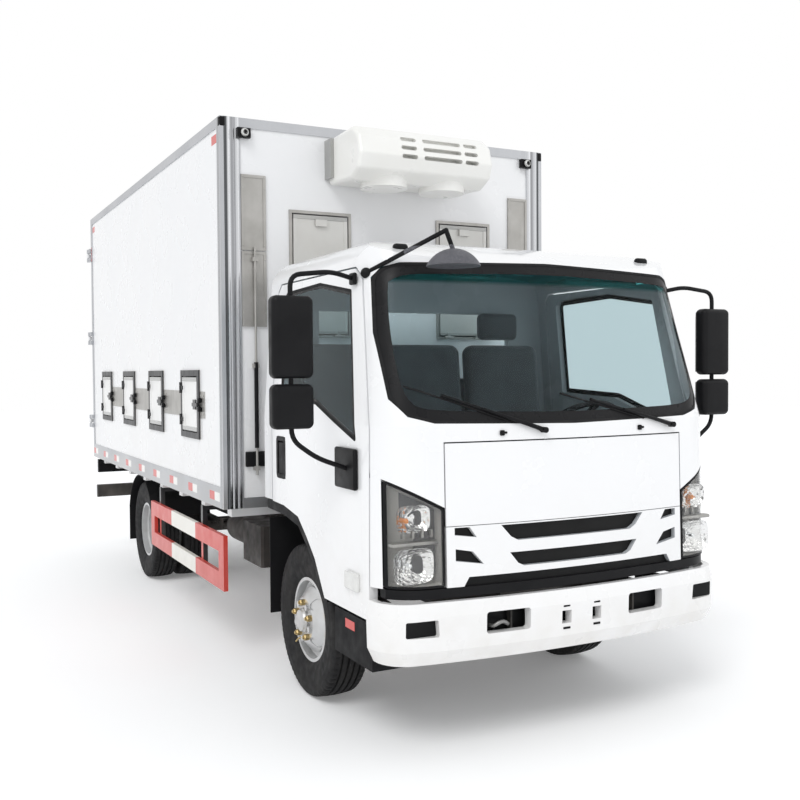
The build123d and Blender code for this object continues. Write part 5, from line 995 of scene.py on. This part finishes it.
class TRUCK_OT_nose_trim(bpy.types.Operator):
    """Wiper blades and arms, washer nozzles, and a black strip of painted shade set behind the skin over the
    bumper.
    """

    bl_idname = "truck.nose_trim"
    bl_label = "Nose Trim"

    def execute(self, context):
        blades = [tube(skin_line(root, tip, BLADE_SHARES, 0.004) - (0, 0, 0.012), 0.0045, 8)
                  for root, tip in WIPERS]
        arms = [tube(skin_line(root, tip, ARM_SHARES, 0.016), np.linspace(0.0105, 0.006, len(ARM_SHARES)), 10)
                for root, tip in WIPERS]
        nozzles = []
        for x in (-NOZZLE_X, NOZZLE_X):
            at = np.array((x, skin_y(x, NOZZLE_Z), NOZZLE_Z))
            nozzles += [pillow(at - (0.012, 0.010, 0.012), at + (0.012, 0.002, 0.012), 0.008, (20, 10)),
                        pillow(at + (0.006, -0.009, -0.004), at + (0.024, -0.002, 0.006), 0.004, (16, 8))]
        # Painted shade: a black strip set just behind the skin over the bumper
        x = np.linspace(-BAND_HALF, BAND_HALF, BAND_STEPS)
        corners = ((BAND_LOW, BAND_FRONT), (BAND_HIGH, BAND_FRONT), (BAND_HIGH, BAND_BACK),
                   (BAND_LOW, BAND_BACK))
        strip = np.stack([on_nose(np.stack([x, np.full_like(x, z)], 1), inset) for z, inset in corners])
        starts = [row * BAND_STEPS for row in range(4)]
        ends = [starts, [start + BAND_STEPS - 1 for start in starts[::-1]]]
        under = (strip, quads(4, BAND_STEPS, wrap_rows=True) + ends)
        for name, parts, material in (("wiper_blades", blades, "seal_rubber"),
                                      ("wiper_arms", arms, "trim_black"),
                                      ("washer_nozzles", nozzles, "trim_black"),
                                      ("under_grille_painted_shade", [under], "trim_black")):
            piece(name, parts, "cab", "black_plastic", material)
        return {"FINISHED"}


# Bumper

# Tow hook: x, distance behind the bumper's face, z
HOOK = ((-0.36, 0.07, 0.565), (-0.36, 0.03, 0.565), (-0.40, 0.018, 0.59), (-0.44, 0.03, 0.565),
        (-0.44, 0.07, 0.565))


def bumper_y(x, inset):
    """Y of the bumper's bowed face, some way inside it."""
    low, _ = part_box("front_bumper")
    bow = BOW_R - inset
    return low.y + inset + bow - np.sqrt(bow ** 2 - x ** 2)


class TRUCK_OT_bumper_trim(bpy.types.Operator):
    """Black plates behind the bumper's openings and black pads in its slots, both painted shade, and a tow
    hook.
    """

    bl_idname = "truck.bumper_trim"
    bl_label = "Bumper Trim"

    def execute(self, context):
        tow, face, middle = bumper_y(0.378, 0.075), bumper_y(0.083, 0.0), bumper_y(0.083, 0.055)
        painted_shade_plates, slots = [], []
        for side, _ in SIDES:
            # Painted shade: black plates set behind the side openings
            painted_shade_plates.append(brick(*sided(side, (0.253, 0.503), (tow, tow + 0.004), (0.520, 0.655))))
            # Painted shade: black pads flush with the face stand for the dark inside of the slots
            for z in (0.524, 0.622):
                corners = sided(side, (0.064, 0.102), (face - 0.0002, face + 0.004), (z - 0.005, z + 0.005))
                slots.append(pillow(*corners, 0.002, (16, 8)))
        # Painted shade: a black plate set behind the middle opening
        painted_shade_plates.append(brick((-0.118, middle, 0.535), (0.118, middle + 0.004, 0.612)))
        piece("bumper_opening_painted_shade_plates", painted_shade_plates, "chassis", "black_plastic", "trim_black", smooth=False)
        piece("bumper_slots_painted_shade", slots, "chassis", "black_plastic", "trim_black")
        hook = eased([(x, bumper_y(0.4, inset), z) for x, inset, z in HOOK], 0.03)
        piece("tow_hook", [tube(hook, 0.0085, 12)], "chassis", "frame_black", "hook_steel")
        return {"FINISHED"}


# Mirrors

MIRROR_X, MIRROR_FRONT, MIRROR_HALF, HEAD_DEPTH = 1.205, AXLE_F - 0.790, 0.094, 0.0815
GLASS_HALF, GLASS_DEPTH = 0.082, 0.0018
HEAD_ZS = ((1.634, 1.986), (1.419, 1.611))
GLASS_ZS = ((1.650, 1.970), (1.434, 1.596))
MIRROR_ARM = ((0.885, -0.706, 2.0715), (1.010, -0.735, 2.0975), (MIRROR_X, -0.745, 2.075),
              (MIRROR_X, -0.745, 1.372), (1.090, -0.745, 1.290), (0.945, -0.745, 1.236))


class TRUCK_OT_door_mirrors(bpy.types.Operator):
    """Soft-edged mirror heads with glass, on bent tube arms between two door brackets."""

    bl_idname = "truck.door_mirrors"
    bl_label = "Door Mirrors"

    def execute(self, context):
        across = (MIRROR_X - MIRROR_HALF, MIRROR_X + MIRROR_HALF)
        deep = (MIRROR_FRONT, MIRROR_FRONT + HEAD_DEPTH)
        glass_across = (MIRROR_X - GLASS_HALF, MIRROR_X + GLASS_HALF)
        glass_deep = (MIRROR_FRONT + 0.0800, MIRROR_FRONT + 0.0800 + GLASS_DEPTH)
        for side, name in SIDES:
            parts = [pillow(*sided(side, across, deep, z), 0.028, (48, 24)) for z in HEAD_ZS]
            parts.append(tube(eased([(side * x, AXLE_F + y, z) for x, y, z in MIRROR_ARM], 0.05), 0.0108, 14))
            foot = sided(side, (0.9305, 0.9535), (AXLE_F - 0.829, AXLE_F - 0.613), (1.146, 1.327))
            block = sided(side, (0.884, 0.9045), (AXLE_F - 0.734, AXLE_F - 0.681), (2.046, 2.099))
            parts += [pillow(*foot, 0.011), pillow(*block, 0.008)]
            piece(f"mirror_set_{name}", parts, f"door_{name}", "black_plastic", "trim_black",
                  (f"door_mirror_{name}",))
            glasses = [pillow(*sided(side, glass_across, glass_deep, z), GLASS_DEPTH / 2, (40, 6))
                       for z in GLASS_ZS]
            piece(f"mirror_glass_{name}", glasses, f"door_{name}", "black_plastic", "mirror_glass")
        return {"FINISHED"}


# Reflectors and small lamps

FIELD, FIELD_Z = 0.10, (0.929, 0.979)
RAIL_FACE = (BOX_HALF - 0.0003, BOX_HALF + 0.0005)
SKIN_FACE = (SIDE_SKIN - 0.0003, SIDE_SKIN + 0.0008)
STEP_FACE = (0.9045, 0.9062)
TAIL_FACE, TAIL_Z = BOX_REAR + 0.0245, (0.757, 0.849)
TAIL_LENSES = (("red", (0.955, 1.035)), ("amber", (0.865, 0.945)), ("pale", (0.775, 0.855)))


class TRUCK_OT_reflectors(bpy.types.Operator):
    """Red and white fields along the lower rails, red markers on the posts and step, and the rear lamps."""

    bl_idname = "truck.reflectors"
    bl_label = "Reflectors"

    def execute(self, context):
        pairs = sizes().reflector_pairs
        first, last = BOX_FRONT + 0.075, BOX_REAR - 0.22
        step = (last - first) / (pairs - 1)
        reds, whites = [], []
        for side, _ in SIDES:
            for n in range(pairs):
                y = first + n * step
                whites.append(brick(*sided(side, RAIL_FACE, (y, y + FIELD), FIELD_Z)))
                reds.append(brick(*sided(side, RAIL_FACE, (y + FIELD, y + 2 * FIELD), FIELD_Z)))
            reds += [brick(*sided(side, RAIL_FACE, (y, y + 0.024), (2.70, 2.83)))
                     for y in (BOX_FRONT + 0.034, BOX_REAR - 0.054)]
            reds += [brick(*sided(side, SKIN_FACE, (y, y + FIELD), (2.955, 3.005)))
                     for y in (BOX_FRONT + 0.075, BOX_REAR - 0.175)]
        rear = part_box("rear_bumper")[1].y
        for n in range(-4, 5):
            field = brick((n * 0.2 - 0.09, rear - 0.0008, 0.535), (n * 0.2 + 0.09, rear - 0.0002, 0.59))
            (reds if n % 2 else whites).append(field)
        step_y = (AXLE_F - 0.72, AXLE_F - 0.62)
        reds += [brick(*sided(side, STEP_FACE, step_y, (0.505, 0.545))) for side, _ in SIDES]
        piece("red_reflectors", reds, "chassis", "lamp_lens", "reflective_red", smooth=False)
        piece("white_reflectors", whites, "chassis", "lamp_lens", "reflective_white", smooth=False)
        deep = (TAIL_FACE - 0.004, TAIL_FACE + 0.0004)
        for kind, across in TAIL_LENSES:
            name = "white" if kind == "pale" else kind
            lenses = [pillow(*sided(side, across, deep, TAIL_Z), 0.002, (24, 8)) for side, _ in SIDES]
            piece(f"tail_lenses_{name}", lenses, "chassis", "lamp_lens", f"{kind}_lens")
        return {"FINISHED"}


# Doors of the cab

HANDLE_RING = ((0.068, 1.110), (0.200, 1.110), (0.200, 1.330), (0.068, 1.330))


class TRUCK_OT_door_trim(bpy.types.Operator):
    """Clear side lamp, and the dark recess lining, grip and rim of each handle."""

    bl_idname = "truck.door_trim"
    bl_label = "Door Trim"

    def execute(self, context):
        lamp_x = (CAB_HALF - 0.004, CAB_HALF + 0.019)
        cup_x = (CAB_HALF - 0.0179, CAB_HALF - 0.0165)
        grip_x = (CAB_HALF - 0.0145, CAB_HALF - 0.0005)
        ring = smooth_outline([(AXLE_F + y, z) for y, z in HANDLE_RING], 80, 0.03)
        for side, name in SIDES:
            lamp = pillow(*sided(side, lamp_x, (AXLE_F - 0.835, AXLE_F - 0.700), (0.702, 0.785)), 0.012)
            piece(f"side_lamp_{name}", [lamp], f"door_{name}", "lamp_lens", "side_lamp")
            cup = brick(*sided(side, cup_x, (AXLE_F + 0.0705, AXLE_F + 0.1975), (1.1125, 1.3275)))
            grip = pillow(*sided(side, grip_x, (AXLE_F + 0.095, AXLE_F + 0.173), (1.132, 1.30)), 0.007)
            bezel = band(ring, drawn_in(ring, 0.024), on_side(side), -0.002, 0.012)
            piece(f"door_handle_{name}", [cup, grip, bezel], f"door_{name}", "black_plastic", "trim_black")
        return {"FINISHED"}


# Box fittings

POST_FACE, POST_SIDE, POST_R, POST_PROUD = 0.110, 0.058, 0.030, 0.0008
DOME = ((-0.0005, 0.0), (-0.0005, 0.021), (-0.010, 0.0225), (-0.019, 0.017), (-0.0235, 0.008), (-0.0245, 0.0))
VENT_X, VENT_SCREW_X = 0.892, 0.0645
VENT_SCREW_ZS = (1.935, 2.0, 2.7, 2.765, 2.30, 2.38)


def post_part(side):
    """Corner post on one side: flanks fluted by a rectified sine that meet in a round, carried up the box."""
    turn, flute = np.linspace(0, np.pi / 2, 25), np.linspace(0, 1, 40)
    wave = 0.0016 * np.abs(np.sin(flute * 3 * np.pi)) ** 0.5
    centre_x, centre_y, r = BOX_HALF - POST_R, BOX_FRONT + POST_R, POST_R + POST_PROUD
    side_run = np.stack([BOX_HALF + wave, BOX_FRONT + POST_SIDE - (POST_SIDE - POST_R) * flute], 1)
    round_run = np.stack([centre_x + r * np.cos(turn), centre_y - r * np.sin(turn)], 1)
    front_run = np.stack([centre_x - (POST_FACE - POST_R) * flute, BOX_FRONT - 1.4 * wave], 1)
    line = np.vstack([side_run, round_run[1:-1], front_run])
    inside = np.clip(line, (0, BOX_FRONT + 0.001), (BOX_HALF - 0.001, np.inf))
    ring = np.vstack([line, inside[::-1]])
    count = len(ring)
    levels = (BOX_BOTTOM + 0.002, BOX_BOTTOM + 0.7, BOX_TOP - 0.7, BOX_TOP - 0.001)
    points = np.stack([np.stack([side * ring[:, 0], ring[:, 1], np.full(count, z)], 1) for z in levels])
    return points, quads(4, count, wrap_columns=True) + [row_face(0, count)[::-1], row_face(3, count)]


def hatch_fixings(side):
    """Screws and catches of the latch plates between one side's hatches."""
    screws, catches = [], []
    screw_x = side * (SIDE_SKIN + 0.0045)
    for y in HATCH_YS:
        edge = y - 0.21
        places = [(screw_x, edge - back, HATCH_Z + z) for z in (-0.055, 0.055) for back in (0.02, 0.075)]
        screws += [pillow(*about(place, (0.0018, 0.006, 0.006)), 0.0017, (12, 6)) for place in places]
        for z in (HATCH_Z - 0.042, HATCH_Z + 0.012):
            corners = sided(side, (SIDE_SKIN + 0.003, SIDE_SKIN + 0.026), (edge - 0.045, edge - 0.012),
                            (z, z + 0.03))
            catches.append(pillow(*corners, 0.006, (20, 10)))
    return screws, catches


class TRUCK_OT_box_fittings(bpy.types.Operator):
    """Corner posts and caps, top lamps, rod tubes, catches and screw heads of the box."""

    bl_idname = "truck.box_fittings"
    bl_label = "Box Fittings"

    def execute(self, context):
        domes, screws, catches, tubes, posts, corners, boxes = ([] for _ in range(7))
        corner = ((BOX_HALF - 0.034, BOX_HALF + 0.0025), (BOX_FRONT - 0.0035, BOX_FRONT + 0.034),
                  (BOX_TOP - 0.058, BOX_TOP - 0.0005))
        wall_box = ((0.83, 0.955), (FRONT_SKIN - 0.024, FRONT_SKIN - 0.0005), (1.128, 1.214))
        for side, _ in SIDES:
            domes.append(lathe(DOME, (side * 0.949, BOX_FRONT - 0.029, 3.002), "y", 40))
            side_screws, side_catches = hatch_fixings(side)
            x = side * VENT_X
            screws += side_screws
            places = [(x + out, FRONT_SKIN - 0.013, z) for z in VENT_SCREW_ZS
                      for out in (-VENT_SCREW_X, VENT_SCREW_X)]
            screws += [pillow(*about(place, (0.004, 0.0015, 0.004)), 0.0014, (12, 6)) for place in places]
            catches += side_catches
            tubes.append(tube([(x, FRONT_SKIN - 0.026, z) for z in (1.235, 1.72)], 0.012, 16))
            posts.append(post_part(side))
            corners.append(pillow(*sided(side, *corner), 0.010, (24, 12)))
            boxes.append(pillow(*sided(side, *wall_box), 0.006, (24, 12)))
        for name, parts, slot, material in (("top_lamp_domes", domes, "lamp_lens", "dome_lens"),
                                            ("fitting_screws", screws, "trim_aluminium", "stainless_plate"),
                                            ("hatch_catches", catches, "hatch_black", "trim_black"),
                                            ("vent_rod_tubes", tubes, "black_plastic", "trim_black"),
                                            ("corner_posts", posts, "trim_aluminium", "post_metal"),
                                            ("corner_caps", corners, "black_plastic", "trim_black"),
                                            ("front_wall_boxes", boxes, "black_plastic", "trim_black")):
            piece(name, parts, "chassis", slot, material)
        return {"FINISHED"}


# Cabin

SEAT_BASE, SEAT_CORNER = 1.052, 0.055
CHANNEL_DEPTH, CHANNEL_WIDTH = 0.007, 0.05


def cushion(low, high, corner, crown, channels, along, steps=(72, 36)):
    """Crowned pad: a rounded box swollen by crown (1-x^2)(1-t^2), its channels pressed in by bell curves."""
    points, faces = pillow(low, high, corner, steps)
    low, high = np.asarray(low), np.asarray(high)
    t = (points - (low + high) / 2) / ((high - low) / 2)
    swell = crown * np.clip(1 - t[..., 0] ** 2, 0, 1) * np.clip(1 - t[..., along] ** 2, 0, 1)
    thick = 3 - along
    points[..., thick] += np.sign(t[..., thick]) * swell
    for at in channels:
        pressed = CHANNEL_DEPTH * np.exp(-((t[..., 0] - at) / CHANNEL_WIDTH) ** 2)
        points[..., thick] -= np.sign(t[..., thick]) * pressed
    return points, faces


def leaned(part, pivot_y, pivot_z, degrees):
    """Part turned about a line across the truck through a pivot."""
    points, faces = part
    turn = math.radians(degrees)
    y, z = points[..., 1] - pivot_y, points[..., 2] - pivot_z
    points = points.copy()
    points[..., 1] = pivot_y + y * math.cos(turn) + z * math.sin(turn)
    points[..., 2] = pivot_z - y * math.sin(turn) + z * math.cos(turn)
    return points, faces


class TRUCK_OT_seats(bpy.types.Operator):
    """Padded driver's seat with a head rest, and a padded double bench."""

    bl_idname = "truck.seats"
    bl_label = "Seats"

    def execute(self, context):
        base, y = SEAT_BASE, AXLE_F
        stands = ("seats",)
        for name, x0, x1, channels, heads in (("driver", 0.197, 0.683, (-0.55, 0.55), (0.440,)),
                                              ("bench", -0.798, 0.148, (-0.6, 0.0, 0.6), ())):
            bottom = cushion((x0, y - 0.432, base), (x1, y + 0.03, base + 0.138), SEAT_CORNER, 0.012,
                             channels, 1)
            back = cushion((x0, y + 0.040, base + 0.135), (x1, y + 0.165, base + 0.765), SEAT_CORNER, 0.010,
                           channels, 2)
            back = leaned(back, y + 0.06, base + 0.14, 6.0)
            seat = piece(f"seat_{name}", [bottom], "cab", "seat_fabric", "seat_cloth", stands)
            rest = piece(f"seat_back_{name}", [back], "cab", "seat_fabric", "seat_cloth")
            stands = ()
            for n, x in enumerate(heads):
                low, high = (x - 0.128, y + 0.152, base + 0.79), (x + 0.128, y + 0.228, base + 0.945)
                pad = cushion(low, high, 0.032, 0.004, (), 2, (48, 24))
                head = piece(f"head_rest_{name}_{n + 1}", [pad], "cab", "seat_fabric", "seat_cloth")
        return {"FINISHED"}


class TRUCK_OT_cabin_details(bpy.types.Operator):
    """Air vents in the dashboard and sun visors."""

    bl_idname = "truck.cabin_details"
    bl_label = "Cabin Details"

    def execute(self, context):
        y = AXLE_F
        vents = [pillow((x - 0.06, y - 0.7265, z), (x + 0.06, y - 0.7185, z + 0.006), 0.0025, (16, 6))
                 for x in (-0.62, -0.16, 0.10, 0.70) for z in (1.215, 1.231, 1.247, 1.263)]
        piece("dash_vents", vents, "cab", "dash_grey", "trim_black")
        visors = [pillow((x - 0.22, y - 0.80, 2.085), (x + 0.22, y - 0.62, 2.105), 0.009, (32, 12))
                  for x in (-0.42, 0.42)]
        piece("sun_visors", visors, "cab", "cab_grey", "visor_grey")
        return {"FINISHED"}


class TRUCK_OT_finishes(bpy.types.Operator):
    """Materials of the nodes that stay."""

    bl_idname = "truck.finishes"
    bl_label = "Finishes"

    def execute(self, context):
        for name, material in carried_finishes().items():
            obj = NODES[name]
            obj.data.materials.clear()
            obj.data.materials.append(material)
        return {"FINISHED"}


# Stage

CAMERA_AT = (-2.6874, -6.4623, 1.6585)
CAMERA_YAW, CAMERA_PITCH, CAMERA_ROLL = map(math.radians, (27.197, -1.637, -0.381))
CAMERA_LENS, SENSOR = 43.81, 36.0
FLOOR_RINGS, FLOOR_Z, FLOOR_STEPS = (4.0, 9.0, 20.0, 40.0), -0.0005, 64
SKY_COLOUR, SKY_POWER = (0.96, 0.98, 1.0, 1), 0.74

# Suns: name, power, spread in degrees, angles in degrees
SUNS = (("key", 1.05, 25.0, (44, 0, -48)), ("fill", 0.30, 60.0, (62, 0, 55)))


class TRUCK_OT_stage(bpy.types.Operator):
    """Floor, light and the camera at the photograph's angle."""

    bl_idname = "truck.stage"
    bl_label = "Stage"

    def execute(self, context):
        scene = bpy.context.scene
        self.camera(scene)
        radius = np.array(FLOOR_RINGS)[:, None]
        turn = np.linspace(0, 2 * np.pi, FLOOR_STEPS, endpoint=False)
        points = np.stack([radius * np.cos(turn), radius * np.sin(turn), 0 * radius * turn + FLOOR_Z], -1)
        faces = quads(len(FLOOR_RINGS), FLOOR_STEPS, wrap_columns=True) + [row_face(0, FLOOR_STEPS)]
        floor = bpy.data.objects.new("floor", new_mesh("floor", points, faces))
        floor.data.materials.append(floor_pale().material)
        scene.collection.objects.link(floor)
        self.light(scene)
        return {"FINISHED"}

    def camera(self, scene):
        """Camera set by yaw, pitch and roll, as it was fitted to the photograph."""
        yaw, pitch, roll = CAMERA_YAW, CAMERA_PITCH, CAMERA_ROLL
        ahead = Vector((math.sin(yaw) * math.cos(pitch), math.cos(yaw) * math.cos(pitch), math.sin(pitch)))
        level = Vector((math.cos(yaw), -math.sin(yaw), 0))
        over = level.cross(ahead)
        right = level * math.cos(roll) + over * math.sin(roll)
        up = over * math.cos(roll) - level * math.sin(roll)
        data = bpy.data.cameras.new("camera")
        data.lens, data.sensor_width, data.clip_end = CAMERA_LENS, SENSOR, 200.0
        camera = bpy.data.objects.new("camera", data)
        turn = Matrix((right, up, -ahead)).transposed().to_4x4()
        camera.matrix_world = Matrix.Translation(CAMERA_AT) @ turn
        scene.collection.objects.link(camera)
        scene.camera = camera

    def light(self, scene):
        """World that lights softly and shows white to the eye, mirrors and glass, with two broad suns."""
        world = bpy.data.worlds.new("studio")
        world.use_nodes = True
        tree = world.node_tree
        tree.nodes.clear()

        def either(first, second):
            node = tree.nodes.new("ShaderNodeMath")
            node.operation = "MAXIMUM"
            tree.links.new(first, node.inputs[0])
            tree.links.new(second, node.inputs[1])
            return node.outputs[0]

        rays = tree.nodes.new("ShaderNodeLightPath").outputs
        seen = either(rays["Is Camera Ray"], rays["Is Transmission Ray"])
        lit, shown = tree.nodes.new("ShaderNodeBackground"), tree.nodes.new("ShaderNodeBackground")
        lit.inputs["Color"].default_value = SKY_COLOUR
        lit.inputs["Strength"].default_value = SKY_POWER
        shown.inputs["Color"].default_value = (1, 1, 1, 1)
        mix, out = tree.nodes.new("ShaderNodeMixShader"), tree.nodes.new("ShaderNodeOutputWorld")
        tree.links.new(either(seen, rays["Is Glossy Ray"]), mix.inputs[0])
        tree.links.new(lit.outputs[0], mix.inputs[1])
        tree.links.new(shown.outputs[0], mix.inputs[2])
        tree.links.new(mix.outputs[0], out.inputs["Surface"])
        scene.world = world
        for name, power, spread, angles in SUNS:
            lamp = bpy.data.lights.new(name, "SUN")
            lamp.energy, lamp.angle = power, math.radians(spread)
            holder = bpy.data.objects.new(name, lamp)
            holder.rotation_euler = tuple(math.radians(a) for a in angles)
            scene.collection.objects.link(holder)
        scene.view_settings.view_transform = "Standard"


ORDER = ("finishes", "tyres", "wheel_trim", "front_lamps", "glass_edges", "nose_trim", "bumper_trim",
         "door_mirrors", "reflectors", "door_trim", "box_fittings", "seats", "cabin_details", "stage")


class TRUCK_PT_panel(bpy.types.Panel):
    """Lists the truck's steps in the sidebar."""

    bl_idname = "TRUCK_PT_panel"
    bl_label = "Delivery Truck"
    bl_space_type = "VIEW_3D"
    bl_region_type = "UI"
    bl_category = "Truck"

    def draw(self, context):
        for group in (context.scene.truck_sizes, context.scene.truck_colours):
            for name in group.__annotations__:
                self.layout.prop(group, name)
        for step in ORDER:
            self.layout.operator(f"truck.{step}")


CLASSES = (TruckSizes, TruckColours, TRUCK_OT_finishes, TRUCK_OT_tyres, TRUCK_OT_wheel_trim,
           TRUCK_OT_front_lamps, TRUCK_OT_glass_edges, TRUCK_OT_nose_trim, TRUCK_OT_bumper_trim,
           TRUCK_OT_door_mirrors, TRUCK_OT_reflectors, TRUCK_OT_door_trim, TRUCK_OT_box_fittings,
           TRUCK_OT_seats, TRUCK_OT_cabin_details, TRUCK_OT_stage, TRUCK_PT_panel)


def register():
    """Adds the classes and the two groups of settings."""
    for cls in CLASSES:
        bpy.utils.register_class(cls)
    bpy.types.Scene.truck_sizes = bpy.props.PointerProperty(type=TruckSizes)
    bpy.types.Scene.truck_colours = bpy.props.PointerProperty(type=TruckColours)


def unregister():
    """Takes them away again."""
    del bpy.types.Scene.truck_colours
    del bpy.types.Scene.truck_sizes
    for cls in reversed(CLASSES):
        bpy.utils.unregister_class(cls)


def main():
    """Runs every step once."""
    register()
    for step in ORDER:
        getattr(bpy.ops.truck, step)()


if __name__ == "__main__":
    main()
